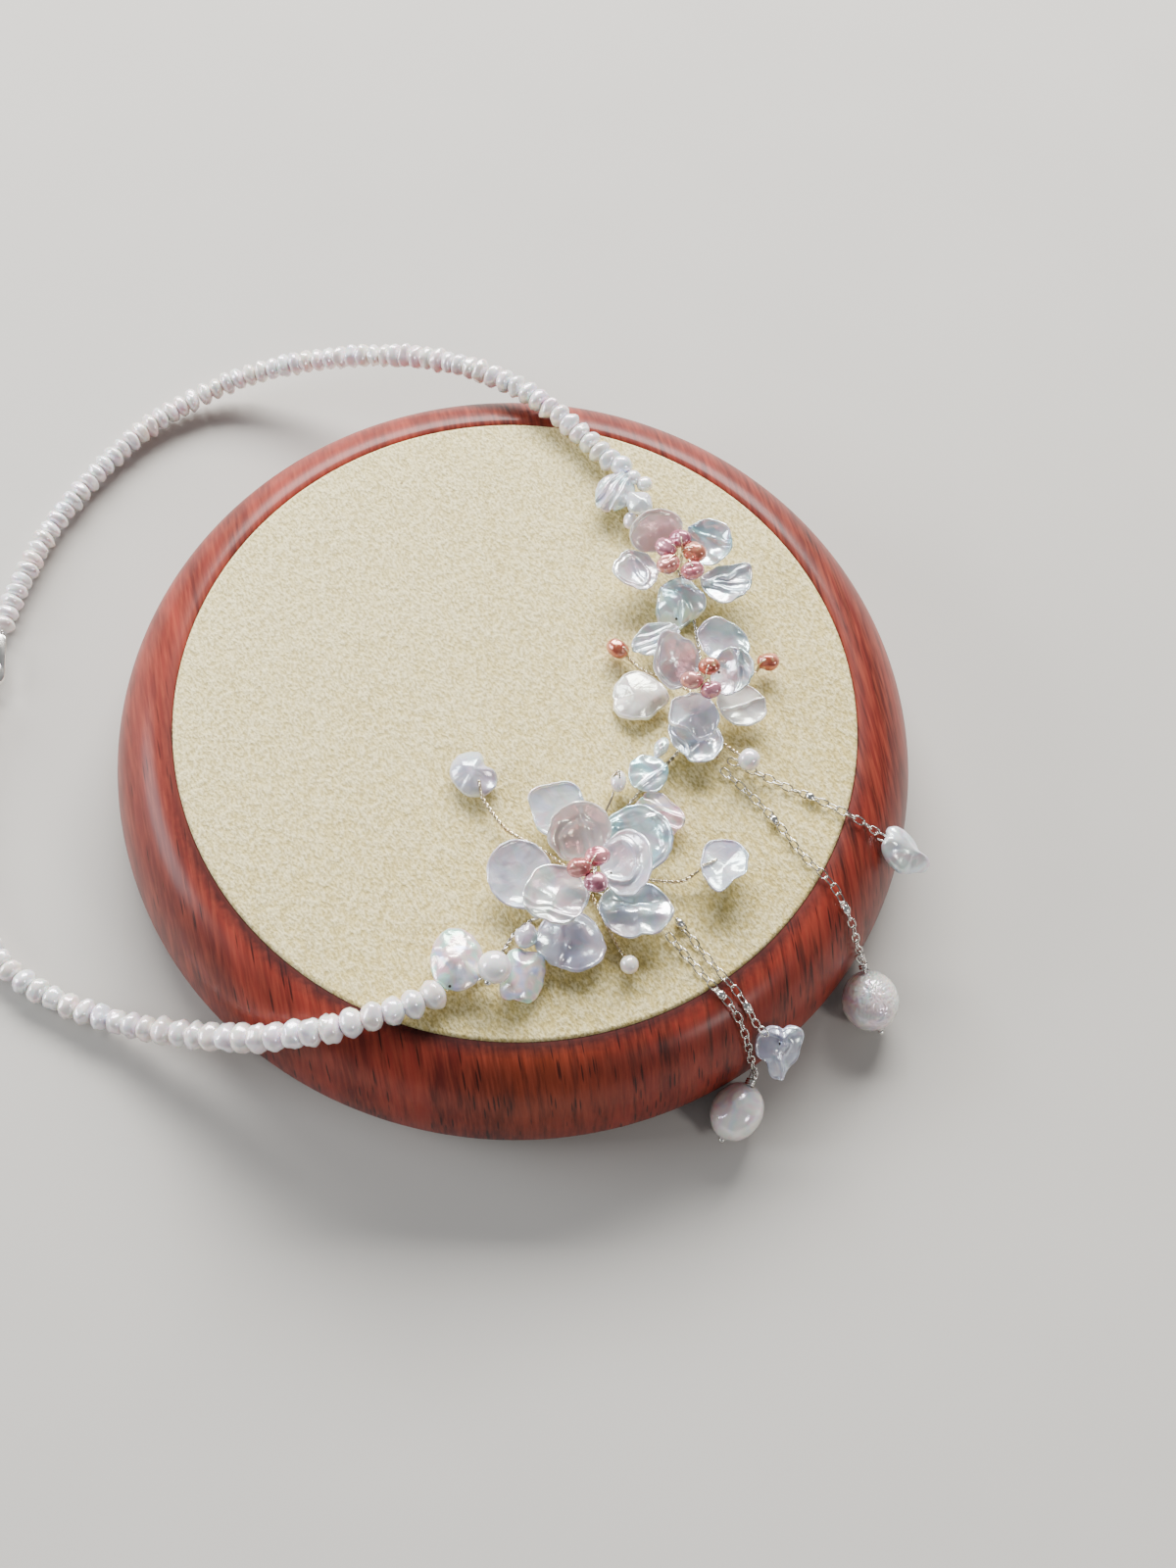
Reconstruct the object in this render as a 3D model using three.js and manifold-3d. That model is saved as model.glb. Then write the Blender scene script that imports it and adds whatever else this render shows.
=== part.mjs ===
// A freshwater pearl choker laid out on its round display board. Millimetres, +Z up.
// The origin is the centre of the board's underside; +X runs to the right, +Y to the far side.
// Strings of button pearls lie over the board and down to the table, three flowers of keshi
// petals are bound to one frame wire between them, and four fine chains end in baroque drops.
import * as THREE from 'three';
import { mergeVertices } from 'three/addons/utils/BufferGeometryUtils.js';
import Module from 'manifold-3d';

const wasm = await Module();
wasm.setup();

// Driving dimensions.
const GAP = 0.3; // clearance that neighbouring pieces keep
const TABLE_GAP = 0.1; // clearance of the beads and drops that lie on the table
const PAD_RADIUS = 60; // suede pad
const PAD_TOP = 24;
const PAD_THICKNESS = 3.4;
const PAD_ROUNDING = 0.8;
const BOARD_RADIUS = 72; // widest part of the turned wooden rim
const BOARD_WAIST_HEIGHT = 6.2; // height of that widest part above the table
const RIM_TOP = 23.8; // height of the rim where it meets the pad
const FOOT_RADIUS = 64;
const PEARL_DIAMETER = 4.6; // button pearls of the two strings
const PEARL_NECK_DIAMETER = 2.9; // where two neighbouring pearls press together
const FAR_PITCH = 2.5; // flat buttons threaded close
const NEAR_PITCH = 2.8; // rounder ones
const FRAME_WIRE_DIAMETER = 0.7; // the wire that carries flowers and sprigs
const SPRIG_WIRE_DIAMETER = 0.6;
const STALK_DIAMETER = 1.2; // bundle of wires under a flower's stamens
const CHAIN_DIAMETER = 1.5; // outer width of the cable links
const CHAIN_LIFT = CHAIN_DIAMETER / 2 + GAP + 0.12; // its straight stretches cut corners a little

// How finely round shapes are faceted.
const BOARD_SIDES = 44;
const RIM_ARC_STEPS = 6;
const STRING_SIDES = 6;
const WIRE_SIDES = 4;
const WIRE_STEP = 4.5; // length of a wire's straight stretches
const CHAIN_SIDES = 8;
const CHAIN_STEP = 3.4;
const BEAD_SIDES = 6;
const BEAD_BANDS = 5;
const PETAL_SIDES = 10;
const PETAL_BANDS = 5;
const DROP_SIDES = 12;
const DROP_BANDS = 7;

// Colours and finishes.
const wood = new THREE.MeshStandardMaterial({ color: 0x7a2413, roughness: 0.25 });
const suede = new THREE.MeshStandardMaterial({ color: 0xcdbb8f, roughness: 0.95 });
const whitePearl = new THREE.MeshStandardMaterial({ color: 0xf1e8e4, roughness: 0.25 });
const silverPearl = new THREE.MeshStandardMaterial({ color: 0xd8dce4, roughness: 0.2 });
const rosePearl = new THREE.MeshStandardMaterial({ color: 0xc07a70, roughness: 0.2 });
const silver = new THREE.MeshStandardMaterial({ color: 0xd9d9d6, roughness: 0.2, metalness: 1 });

const choker = new THREE.Group();

function add(name, geometry, material) {
  const mesh = new THREE.Mesh(geometry, material);
  mesh.name = name;
  choker.add(mesh);
  return mesh;
}

// Turns rows of figures under named columns into objects.
function table(columns, rows) {
  const names = columns.split(' ');
  return rows.map((row) => Object.fromEntries(row.map((figure, i) => [names[i], figure])));
}

// Merges the corners that triangles share and drops the slivers at poles and seams, then
// turns the skin outwards if its signed volume is negative.
function sealed(geometry) {
  const bare = geometry.clone();
  bare.deleteAttribute('normal');
  bare.deleteAttribute('uv');
  const merged = mergeVertices(bare, 1e-4);
  const corners = merged.index.array;
  const kept = [];
  let volume = 0;
  const a = new THREE.Vector3();
  const b = new THREE.Vector3();
  const c = new THREE.Vector3();
  for (let i = 0; i < corners.length; i += 3) {
    const [p, q, r] = [corners[i], corners[i + 1], corners[i + 2]];
    if (p !== q && q !== r && r !== p) {
      kept.push([p, q, r]);
      a.fromBufferAttribute(merged.attributes.position, p);
      b.fromBufferAttribute(merged.attributes.position, q);
      c.fromBufferAttribute(merged.attributes.position, r);
      volume += a.dot(b.cross(c));
    }
  }
  merged.setIndex(kept.flatMap(([p, q, r]) => (volume < 0 ? [p, r, q] : [p, q, r])));
  merged.computeVertexNormals();
  return merged;
}

// Joins overlapping solids into one.
function joined(geometries) {
  const solids = geometries.map((geometry) => {
    const skin = sealed(geometry);
    const mesh = new wasm.Mesh({
      numProp: 3,
      vertProperties: new Float32Array(skin.attributes.position.array),
      triVerts: new Uint32Array(skin.index.array),
    });
    return new wasm.Manifold(mesh);
  });
  const whole = solids.reduce((sum, solid) => sum.add(solid)).getMesh();
  const geometry = new THREE.BufferGeometry();
  geometry.setAttribute('position', new THREE.BufferAttribute(whole.vertProperties, 3));
  geometry.setIndex(new THREE.BufferAttribute(whole.triVerts, 1));
  geometry.computeVertexNormals();
  return geometry;
}

// A smooth curve through the rows of a table with columns x, y and z.
function routeThrough(rows) {
  return new THREE.CatmullRomCurve3(rows.map(({ x, y, z }) => new THREE.Vector3(x, y, z)));
}

// A round wire, or a chain's outer shape, swept along a route.
function tube(rows, diameter, sides, stepLength) {
  const section = new THREE.Shape();
  for (let side = 0; side < sides; side += 1) {
    const turn = (2 * Math.PI * side) / sides;
    const x = (diameter / 2) * Math.cos(turn);
    const y = (diameter / 2) * Math.sin(turn);
    if (side === 0) section.moveTo(x, y);
    else section.lineTo(x, y);
  }
  section.closePath();
  const route = routeThrough(rows);
  const steps = Math.max(2, Math.round(route.getLength() / stepLength));
  return new THREE.ExtrudeGeometry(section, { steps, extrudePath: route, bevelEnabled: false });
}

// A solid ball, squashed or stretched along its own axes, set down at a place.
function ball(row, sides = BEAD_SIDES, bands = BEAD_BANDS) {
  const { x, y, z, wide, deep = wide, high = wide, turn = 0 } = row;
  const geometry = new THREE.SphereGeometry(0.5, sides, bands);
  geometry.rotateX(Math.PI / 2);
  geometry.scale(wide, deep, high);
  geometry.rotateZ(THREE.MathUtils.degToRad(turn));
  geometry.translate(x, y, z);
  return geometry;
}

// A profile of radius and height turned about the vertical through the origin.
function turned(profile, sides) {
  const geometry = new THREE.LatheGeometry(profile, sides);
  geometry.rotateX(Math.PI / 2);
  return geometry;
}

// ---- Display board: a turned hardwood disc with a shallow recess on top ----
const RIM_INNER_RADIUS = PAD_RADIUS + GAP;
const PAD_UNDERSIDE = PAD_TOP - PAD_THICKNESS;
const RECESS_FLOOR = PAD_UNDERSIDE - GAP;

// A point on the rim's quarter-oval shoulder: turn 0 is its widest, 90 degrees its top.
function rimPoint(turn) {
  const angle = THREE.MathUtils.degToRad(turn);
  return new THREE.Vector2(
    RIM_INNER_RADIUS + (BOARD_RADIUS - RIM_INNER_RADIUS) * Math.cos(angle),
    BOARD_WAIST_HEIGHT + (RIM_TOP - BOARD_WAIST_HEIGHT) * Math.sin(angle),
  );
}

// A point on the undercut below it: turn 0 is the foot's edge, 90 degrees the widest.
function undercutPoint(turn) {
  const angle = THREE.MathUtils.degToRad(turn);
  return new THREE.Vector2(
    FOOT_RADIUS + (BOARD_RADIUS - FOOT_RADIUS) * Math.sin(angle),
    BOARD_WAIST_HEIGHT * (1 - Math.cos(angle)),
  );
}

const boardProfile = [
  new THREE.Vector2(0, 0),
  undercutPoint(0),
  undercutPoint(30),
  undercutPoint(60),
];
for (let step = 0; step <= RIM_ARC_STEPS; step += 1) {
  boardProfile.push(rimPoint((90 * step) / RIM_ARC_STEPS));
}
boardProfile.push(new THREE.Vector2(RIM_INNER_RADIUS, RECESS_FLOOR));
boardProfile.push(new THREE.Vector2(0, RECESS_FLOOR));
add('board_rim', sealed(turned(boardProfile, BOARD_SIDES)), wood);

// ---- Suede pad: a padded disc that fills the recess and stands a little proud ----
const padProfile = [
  new THREE.Vector2(0, PAD_UNDERSIDE),
  new THREE.Vector2(PAD_RADIUS, PAD_UNDERSIDE),
  new THREE.Vector2(PAD_RADIUS, PAD_TOP - PAD_ROUNDING),
  new THREE.Vector2(PAD_RADIUS - 0.3 * PAD_ROUNDING, PAD_TOP - 0.3 * PAD_ROUNDING),
  new THREE.Vector2(PAD_RADIUS - PAD_ROUNDING, PAD_TOP),
  new THREE.Vector2(0, PAD_TOP),
];
add('suede_pad', sealed(turned(padProfile, BOARD_SIDES)), suede);

// ---- Two strings of button pearls ----
// Each route starts at the flowers, crosses the rim and comes down to the table.
const ON_TABLE = PEARL_DIAMETER / 2 + TABLE_GAP;
const farRoute = table('x y z', [
  [12.3, 51.5, 26.6],
  [6.7, 56.1, 26.6],
  [-1.3, 62.6, 26.5],
  [-9.3, 67.6, 25.6],
  [-21.1, 73.0, 22.4],
  [-33.1, 76.8, 17.2],
  [-47.2, 78.4, 11.0],
  [-60.9, 76.8, 6.0],
  [-72.0, 71.3, 3.2],
  [-82.1, 61.7, ON_TABLE],
  [-93.5, 41.3, ON_TABLE],
  [-98.3, 23.2, ON_TABLE],
  [-99.2, 15.6, ON_TABLE],
]);
const nearRoute = table('x y z', [
  [-6.2, -53.4, 26.6],
  [-12.1, -57.0, 26.6],
  [-18.1, -59.5, 26.4],
  [-24.1, -61.7, 25.2],
  [-30.0, -62.4, 22.3],
  [-36.4, -62.4, 18.2],
  [-43.4, -61.6, 13.4],
  [-50.5, -60.4, 9.0],
  [-62.8, -58.1, 3.9],
  [-74.9, -54.7, ON_TABLE],
  [-84.5, -49.6, ON_TABLE],
  [-94.6, -37.4, ON_TABLE],
  [-99.2, -22.0, ON_TABLE],
  [-99.8, -9.0, ON_TABLE],
  [-99.0, -0.1, ON_TABLE],
]);

// One stretch of the string: a straight row of beads turned on the lathe, then bent along
// the route between two of its lengths.
function beadStretch(route, start, end, spacing) {
  const pearls = Math.round((end - start) / spacing);
  const pitch = (end - start) / pearls;
  const widest = PEARL_DIAMETER / 2;
  const neck = PEARL_NECK_DIAMETER / 2;
  const profile = [new THREE.Vector2(0, 0)];
  for (let pearl = 0; pearl < pearls; pearl += 1) {
    profile.push(new THREE.Vector2(neck, pearl * pitch));
    profile.push(new THREE.Vector2(widest, (pearl + 0.3) * pitch));
    profile.push(new THREE.Vector2(widest, (pearl + 0.7) * pitch));
  }
  profile.push(new THREE.Vector2(neck, pearls * pitch));
  profile.push(new THREE.Vector2(0, pearls * pitch));
  const geometry = new THREE.LatheGeometry(profile, STRING_SIDES);
  const position = geometry.attributes.position;
  const total = route.getLength();
  const up = new THREE.Vector3(0, 0, 1);
  for (let i = 0; i < position.count; i += 1) {
    const along = (start + position.getY(i)) / total;
    const centre = route.getPointAt(along);
    const tangent = route.getTangentAt(along);
    const side = tangent.clone().cross(up).normalize();
    const over = side.clone().cross(tangent);
    centre.addScaledVector(side, position.getX(i));
    centre.addScaledVector(over, position.getZ(i));
    position.setXYZ(i, centre.x, centre.y, centre.z);
  }
  return sealed(geometry);
}

function addString(name, rows, spacing, stretches) {
  const route = routeThrough(rows);
  const length = route.getLength();
  for (let stretch = 0; stretch < stretches; stretch += 1) {
    const start = (length * stretch) / stretches + GAP / 2;
    const end = (length * (stretch + 1)) / stretches - GAP / 2;
    add(`${name}_${stretch + 1}`, beadStretch(route, start, end, spacing), whitePearl);
  }
}

addString('far_string', farRoute, FAR_PITCH, 5);
addString('near_string', nearRoute, NEAR_PITCH, 5);

// ---- Keshi petals ----
// Outlines: how far the edge reaches, as a share of half the petal's size, at eight equal
// turns anticlockwise from the tip; the fifth value is the base.
const outlines = {
  round: [1, 1, 1, 1, 0.95, 1, 1, 1],
  fan: [0.95, 1.05, 1, 0.86, 0.85, 0.86, 1, 1.05],
  drop: [1, 0.9, 1, 0.9, 0.9, 0.9, 1, 0.9],
  point: [1.1, 0.92, 0.95, 0.95, 0.9, 0.95, 0.95, 0.88],
  shield: [1.12, 0.8, 0.97, 1.06, 1.03, 1.06, 0.9, 0.9],
  scoop: [0.95, 1.12, 0.72, 0.78, 1, 0.95, 1.02, 0.98],
  block: [0.95, 1.14, 0.95, 1.1, 0.95, 1.08, 0.98, 1.12],
  heart: [0.86, 1.08, 1.02, 0.86, 0.95, 0.9, 1.02, 1.05],
  kite: [0.95, 0.7, 1, 0.85, 1, 0.94, 0.9, 0.98],
  sail: [0.95, 0.95, 0.94, 1, 0.9, 1.12, 0.78, 0.7],
  lobe: [0.9, 1.12, 1.06, 0.85, 1.04, 1.1, 1.04, 0.8],
  notch: [0.62, 1, 1.02, 0.98, 0.9, 1, 1.1, 1],
  wing: [1.05, 0.62, 0.8, 1.05, 0.95, 1, 0.95, 0.8],
  star: [1.15, 0.58, 0.9, 1.16, 0.7, 0.9, 1.05, 0.64],
};

// The edge's reach between two of those turns, eased so that the outline stays smooth.
function reachAt(outline, turn) {
  const circle = 2 * Math.PI;
  const place = (((turn + circle) % circle) / circle) * outline.length;
  const before = Math.floor(place) % outline.length;
  const after = (before + 1) % outline.length;
  const share = (1 - Math.cos((place - Math.floor(place)) * Math.PI)) / 2;
  return outline[before] * (1 - share) + outline[after] * share;
}

// A petal is a thin closed lens. It is longest along its own x axis, and its middle is
// dished below its edge by cup, or domed above it where cup is negative.
function petalGeometry({ long, wide, thick, cup, outline }) {
  const geometry = new THREE.SphereGeometry(1, PETAL_SIDES, PETAL_BANDS);
  geometry.rotateX(Math.PI / 2);
  const position = geometry.attributes.position;
  for (let i = 0; i < position.count; i += 1) {
    const x = position.getX(i);
    const y = position.getY(i);
    const out = Math.min(1, Math.hypot(x, y));
    const reach = reachAt(outlines[outline], Math.atan2(y, x));
    position.setXYZ(
      i,
      (x * reach * long) / 2,
      (y * reach * wide) / 2,
      (position.getZ(i) * thick) / 2 + cup * (out * out - 0.5),
    );
  }
  return sealed(geometry);
}

// Sets a petal's middle at x, y, z, points its tip to the compass heading, lifts the tip by
// lean and raises its left edge by roll, all in degrees.
function addPetal(name, row) {
  const petal = add(name, petalGeometry(row), silverPearl);
  const { degToRad } = THREE.MathUtils;
  petal.position.set(row.x, row.y, row.z);
  petal.rotation.set(degToRad(row.roll), degToRad(-row.lean), degToRad(row.head), 'ZYX');
}

const PETAL_COLUMNS = 'x y z long wide thick cup head lean roll outline';
const flowers = {
  small_petal: table(PETAL_COLUMNS, [
    [20.8, 36.3, 30.4, 8.5, 10.0, 1.3, 0.8, 114, 50, 0, 'round'],
    [30.7, 35.6, 29.0, 9.0, 8.8, 1.4, 1.5, 42, 26, 0, 'round'],
    [34.6, 28.5, 28.0, 9.4, 8.8, 1.4, 1.2, -4, 12, 0, 'scoop'],
    [26.6, 24.2, 28.4, 9.6, 9.6, 1.8, -1.4, -92, 6, 0, 'kite'],
    [18.0, 28.5, 28.3, 9.6, 8.6, 1.3, 1.3, 202, 16, 0, 'drop'],
  ]),
  middle_petal: table(PETAL_COLUMNS, [
    [22.9, 15.6, 27.2, 10.2, 6.6, 1.3, 1.0, 216, 6, 0, 'drop'],
    [34.7, 16.4, 27.6, 8.6, 9.8, 1.3, 1.2, 65, 12, 0, 'fan'],
    [39.0, 4.8, 26.8, 9.2, 7.6, 1.3, 1.0, -18, 5, 0, 'round'],
    [21.3, 4.8, 26.9, 10.6, 8.9, 1.4, -0.8, 188, 5, 0, 'heart'],
    [31.4, -3.3, 26.9, 9.6, 10.5, 1.4, 1.0, -82, 5, 0, 'sail'],
    [26.4, 9.8, 31.4, 11.0, 9.0, 1.3, 1.4, 125, 44, 0, 'point'],
    [36.8, 9.0, 31.0, 8.8, 8.6, 1.3, 1.5, 25, 36, 0, 'round'],
    [30.8, 1.1, 30.2, 7.8, 8.8, 1.6, 0.9, -98, 14, 0, 'heart'],
  ]),
  large_petal: table(PETAL_COLUMNS, [
    [9.2, -19.2, 27.6, 9.7, 9.9, 1.3, 1.0, 112, 8, 0, 'block'],
    [26.4, -17.5, 26.1, 7.0, 9.0, 1.2, 0.4, 55, 0, 0, 'block'],
    [23.2, -23.5, 28.6, 11.8, 12.0, 1.3, 1.2, 48, 12, 0, 'round'],
    [24.3, -36.3, 27.2, 12.4, 10.4, 1.6, 1.2, -30, 6, 0, 'lobe'],
    [14.0, -41.8, 26.9, 11.6, 11.8, 1.5, -0.8, -110, 5, 0, 'fan'],
    [3.9, -31.7, 27.3, 11.4, 12.2, 1.4, 1.4, 172, 8, 0, 'round'],
    [13.1, -24.6, 32.0, 10.8, 11.0, 1.3, 1.6, 110, 38, 0, 'round'],
    [22.0, -29.6, 32.2, 10.0, 11.8, 1.3, 1.5, 15, 34, 0, 'round'],
    [10.4, -36.4, 31.3, 12.6, 11.0, 1.4, 1.2, 212, 14, 0, 'drop'],
  ]),
};
for (const [name, rows] of Object.entries(flowers)) {
  rows.forEach((row, index) => addPetal(`${name}_${index + 1}`, row));
}

// ---- Baroque and keshi pearls threaded between the flowers, and the two sprig ends ----
const threadedPearls = table(`name ${PETAL_COLUMNS}`, [
  ['ridged_leaf_keshi', 12.9, 44.6, 27.0, 8.0, 6.2, 2.2, -0.4, -128, 4, 0, 'drop'],
  ['wedge_pearl', 17.3, 42.9, 28.9, 6.0, 4.8, 2.4, 0, -40, 8, 0, 'drop'],
  ['lower_baroque_pearl', 25.7, -5.1, 27.1, 4.5, 2.5, 2.4, 0, -110, 0, 0, 'drop'],
  ['wrinkled_keshi', 23.8, -10.5, 27.0, 7.0, 7.2, 1.9, 0.5, 10, 3, 0, 'round'],
  ['end_round_keshi', -4.7, -48.0, 27.3, 11.2, 8.8, 2.2, -0.6, 100, 0, 0, 'round'],
  ['end_pink_keshi', 6.3, -49.3, 26.9, 9.6, 7.2, 2.2, -0.4, 84, 4, -6, 'block'],
  ['end_baroque_pearl', 6.3, -42.7, 27.2, 4.6, 4.0, 2.6, 0, 70, 0, 0, 'drop'],
  ['left_sprig_keshi', -6.2, -13.7, 27.2, 8.4, 8.4, 2.0, -0.4, 45, 6, 0, 'notch'],
  ['right_sprig_keshi', 38.0, -26.2, 27.2, 10.2, 8.6, 1.6, 0.6, -97, 4, 0, 'shield'],
]);
for (const row of threadedPearls) addPetal(row.name, row);

add('end_round_pearl', sealed(ball({ x: 1.8, y: -49.5, z: 29.8, wide: 5.6 }, 9, 6)), whitePearl);
add('seed_pearls', joined([
  ball({ x: 15.8, y: 49.0, z: 26.9, wide: 3.0, high: 2.7 }),
  ball({ x: 18.0, y: 47.9, z: 26.9, wide: 3.0, high: 2.6 }),
]), whitePearl);

// ---- Stamens: small rice pearls on short stalks that meet over the middle of a flower ----
// The middle flower's wires also run out to a pearl on either side of it.
const FRAME_WIRE_HEIGHT = PAD_TOP + GAP + FRAME_WIRE_DIAMETER / 2;

function stamens({ hub, pearls, sprigs = [] }) {
  const foot = { x: hub.x, y: hub.y, z: FRAME_WIRE_HEIGHT + FRAME_WIRE_DIAMETER / 2 + GAP };
  const solids = [tube([foot, hub], STALK_DIAMETER, WIRE_SIDES, WIRE_STEP)];
  for (const pearl of pearls) {
    solids.push(ball(pearl));
    solids.push(tube([hub, pearl], STALK_DIAMETER / 2, WIRE_SIDES, WIRE_STEP));
  }
  for (const sprig of sprigs) {
    solids.push(tube(sprig, SPRIG_WIRE_DIAMETER, WIRE_SIDES, WIRE_STEP));
    solids.push(ball(sprig.at(-1)));
  }
  return joined(solids);
}

add('small_flower_stamens', stamens({
  hub: { x: 25.9, y: 31.6, z: 30.2 },
  pearls: table('x y z wide', [
    [22.9, 32.2, 31.6, 3.8],
    [25.3, 34.3, 31.6, 3.8],
    [28.1, 31.8, 31.8, 4.0],
    [23.6, 28.9, 31.6, 3.8],
    [28.0, 28.2, 31.4, 3.8],
  ]),
}), rosePearl);

add('middle_flower_stamens', stamens({
  hub: { x: 31.7, y: 6.0, z: 31.5 },
  pearls: table('x y z wide', [
    [32.4, 8.4, 33.4, 3.4],
    [29.6, 5.4, 33.4, 3.6],
    [33.1, 4.0, 33.2, 3.4],
  ]),
  sprigs: [
    table('x y z wide', [
      [31.4, 6.2, 25.9],
      [26.6, 8.6, 25.4],
      [21.2, 10.4, 25.2],
      [18.4, 12.2, 25.7],
      [16.3, 13.5, 26.6, 3.8],
    ]),
    table('x y z wide', [
      [32.0, 6.2, 25.9],
      [37.0, 9.6, 25.4],
      [40.2, 11.6, 25.6],
      [43.1, 14.0, 27.0, 3.6],
    ]),
  ],
}), rosePearl);

add('large_flower_stamens', stamens({
  hub: { x: 15.6, y: -31.6, z: 32.4 },
  pearls: table('x y z wide', [
    [16.6, -29.8, 34.4, 3.8],
    [13.8, -32.2, 34.4, 3.8],
    [16.8, -34.4, 34.2, 3.8],
  ]),
}), rosePearl);

// ---- Frame wire: runs under the three flowers from string to string, with twisted sprigs ----
const LOW = FRAME_WIRE_HEIGHT;
const frameRoute = table('x y z', [
  [12.8, 51.1, 26.5],
  [14.4, 49.0, 25.0],
  [17.2, 44.8, LOW],
  [20.4, 40.4, LOW],
  [25.9, 31.6, LOW],
  [30.4, 18.0, LOW],
  [31.7, 6.0, LOW],
  [29.6, -3.0, LOW],
  [23.4, -12.0, LOW],
  [18.0, -22.0, LOW],
  [15.6, -31.6, LOW],
  [11.6, -36.4, LOW],
  [7.4, -38.4, LOW],
  [4.6, -41.0, LOW],
  [2.4, -45.4, LOW],
  [0.4, -49.0, LOW],
  [-3.2, -51.8, 24.8],
  [-5.6, -53.1, 26.2],
]);
const sprigWires = {
  toLeftKeshi: table('x y z', [
    [15.6, -31.6, LOW],
    [8.3, -26.4, 24.8],
    [1.1, -23.4, 25.6],
    [-1.2, -21.4, 25.9],
    [-4.2, -17.9, 26.2],
  ]),
  toRightKeshi: table('x y z', [
    [15.6, -31.6, LOW],
    [24.0, -29.3, 24.8],
    [31.2, -29.2, 25.9],
    [33.2, -28.0, 26.5],
  ]),
  hookByWrinkledKeshi: table('x y z', [
    [17.9, -22.2, LOW],
    [17.1, -18.6, 24.9],
    [18.8, -13.0, 26.2],
  ]),
  toTeardrop: table('x y z', [
    [15.6, -31.6, LOW],
    [21.0, -40.6, 24.8],
    [23.7, -44.8, 26.0],
  ]),
  toRoundPearl: table('x y z', [
    [31.0, 2.4, LOW],
    [36.9, -2.6, 25.6],
    [40.9, -6.0, 28.0],
  ]),
  toUpperChains: table('x y z', [
    [31.4, 3.6, LOW],
    [33.6, -1.4, LOW],
    [35.9, -4.8, 24.8],
  ]),
  toLowerChains: table('x y z', [
    [15.6, -31.6, LOW],
    [24.0, -35.6, LOW],
    [28.8, -36.9, 24.8],
  ]),
  toFarSeed: table('x y z', [
    [18.6, 43.0, LOW],
    [16.4, 40.6, 25.6],
  ]),
};
const seedsOnWire = table('x y z wide deep high', [
  [18.9, -12.2, 26.5, 2.8, 4.0, 2.6],
  [23.9, -45.2, 26.2, 3.2],
  [41.0, -6.1, 28.1, 3.9],
  [16.1, 40.3, 26.1, 2.6, 3.4],
]);
add('frame_wire', joined([
  tube(frameRoute, FRAME_WIRE_DIAMETER, WIRE_SIDES, WIRE_STEP),
  ...Object.values(sprigWires).map((rows) => tube(rows, SPRIG_WIRE_DIAMETER, WIRE_SIDES, WIRE_STEP)),
  ...seedsOnWire.map((seed) => ball(seed)),
]), silver);

// ---- Four fine chains over the pad and the rim ----
// Height of the middle of a round section of that half-width when it rests on the board.
function restHeight({ x, y }, halfWidth) {
  const out = Math.hypot(x, y);
  const corners = [new THREE.Vector2(Math.min(out, PAD_RADIUS), PAD_TOP)];
  for (let turn = 0; turn <= 90; turn += 1) corners.push(rimPoint(turn));
  let height = halfWidth;
  for (const corner of corners) {
    const aside = Math.abs(out - corner.x);
    if (aside <= halfWidth) {
      height = Math.max(height, corner.y + Math.sqrt(halfWidth ** 2 - aside ** 2));
    }
  }
  return height;
}

// Rows with no height of their own lie on the board; the rest hang free below the rim.
const chainRoutes = {
  wing_chain: table('x y z', [
    [37.4, -5.0],
    [42.8, -7.0],
    [48.8, -9.3],
    [52.4, -10.4],
    [58.8, -12.8],
    [62.0, -13.9],
    [65.0, -14.7],
  ]),
  wrinkled_chain: table('x y z', [
    [36.4, -6.9],
    [41.3, -10.8],
    [46.5, -15.6],
    [52.0, -21.8],
    [54.9, -24.2],
    [57.3, -26.2],
    [59.8, -29.2],
    [61.8, -31.4],
    [63.2, -33.0],
    [64.9, -33.6, 10.4],
    [65.8, -33.4, 7.6],
  ]),
  star_chain: table('x y z', [
    [31.3, -35.9],
    [35.6, -40.7],
    [39.4, -44.6],
    [41.9, -46.8],
    [44.4, -49.2],
    [46.8, -51.3],
  ]),
  egg_chain: table('x y z', [
    [29.6, -38.4],
    [34.2, -43.0],
    [38.4, -47.0],
    [41.4, -49.4],
    [43.6, -51.6],
    [45.0, -53.4],
    [46.2, -54.8],
    [47.4, -56.0, 9.6],
    [47.7, -56.2, 7.0],
  ]),
};
for (const [name, rows] of Object.entries(chainRoutes)) {
  const laid = rows.map((row) => ({ z: restHeight(row, CHAIN_LIFT), ...row }));
  add(name, sealed(tube(laid, CHAIN_DIAMETER, CHAIN_SIDES, CHAIN_STEP)), silver);
}

// ---- Four drops at the chains' ends; two lean on the rim and two rest on the table ----
const leaningDrops = table(`name ${PETAL_COLUMNS}`, [
  ['wing_drop', 70.0, -16.2, 18.6, 11.4, 7.8, 3.6, 0, -15, -38, 0, 'wing'],
  ['star_drop', 50.8, -53.8, 16.1, 9.6, 8.8, 1.8, 0.5, -85, -40, 0, 'star'],
]);
for (const row of leaningDrops) addPetal(row.name, row);

const restingDrops = table('name x y wide deep high turn', [
  ['wrinkled_drop', 67.4, -39.4, 10.2, 11.0, 9.8, 13],
  ['egg_drop', 45.5, -61.9, 9.0, 10.6, 8.8, -25],
]);
for (const row of restingDrops) {
  const drop = ball({ z: row.high / 2 + TABLE_GAP, ...row }, DROP_SIDES, DROP_BANDS);
  add(row.name, sealed(drop), whitePearl);
}

// ---- Clasp: a flat hook plate at the far string's end, and the ring that it holds ----
const CLASP_X = -98.9;
const CLASP_THICKNESS = 1.4;
const CLASP_UNDERSIDE = 1.85;
const HOOK = { y: 6.1, radius: 2.5 };
const TAIL = { y: 13.4, radius: 1.2 };
const EYE = { y: 6.7, halfWidth: 1.5, halfLength: 2.3 }; // hole that the ring passes through
const RING = { y: 3.1, radius: 2.2, wireRadius: 0.35 };

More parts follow.
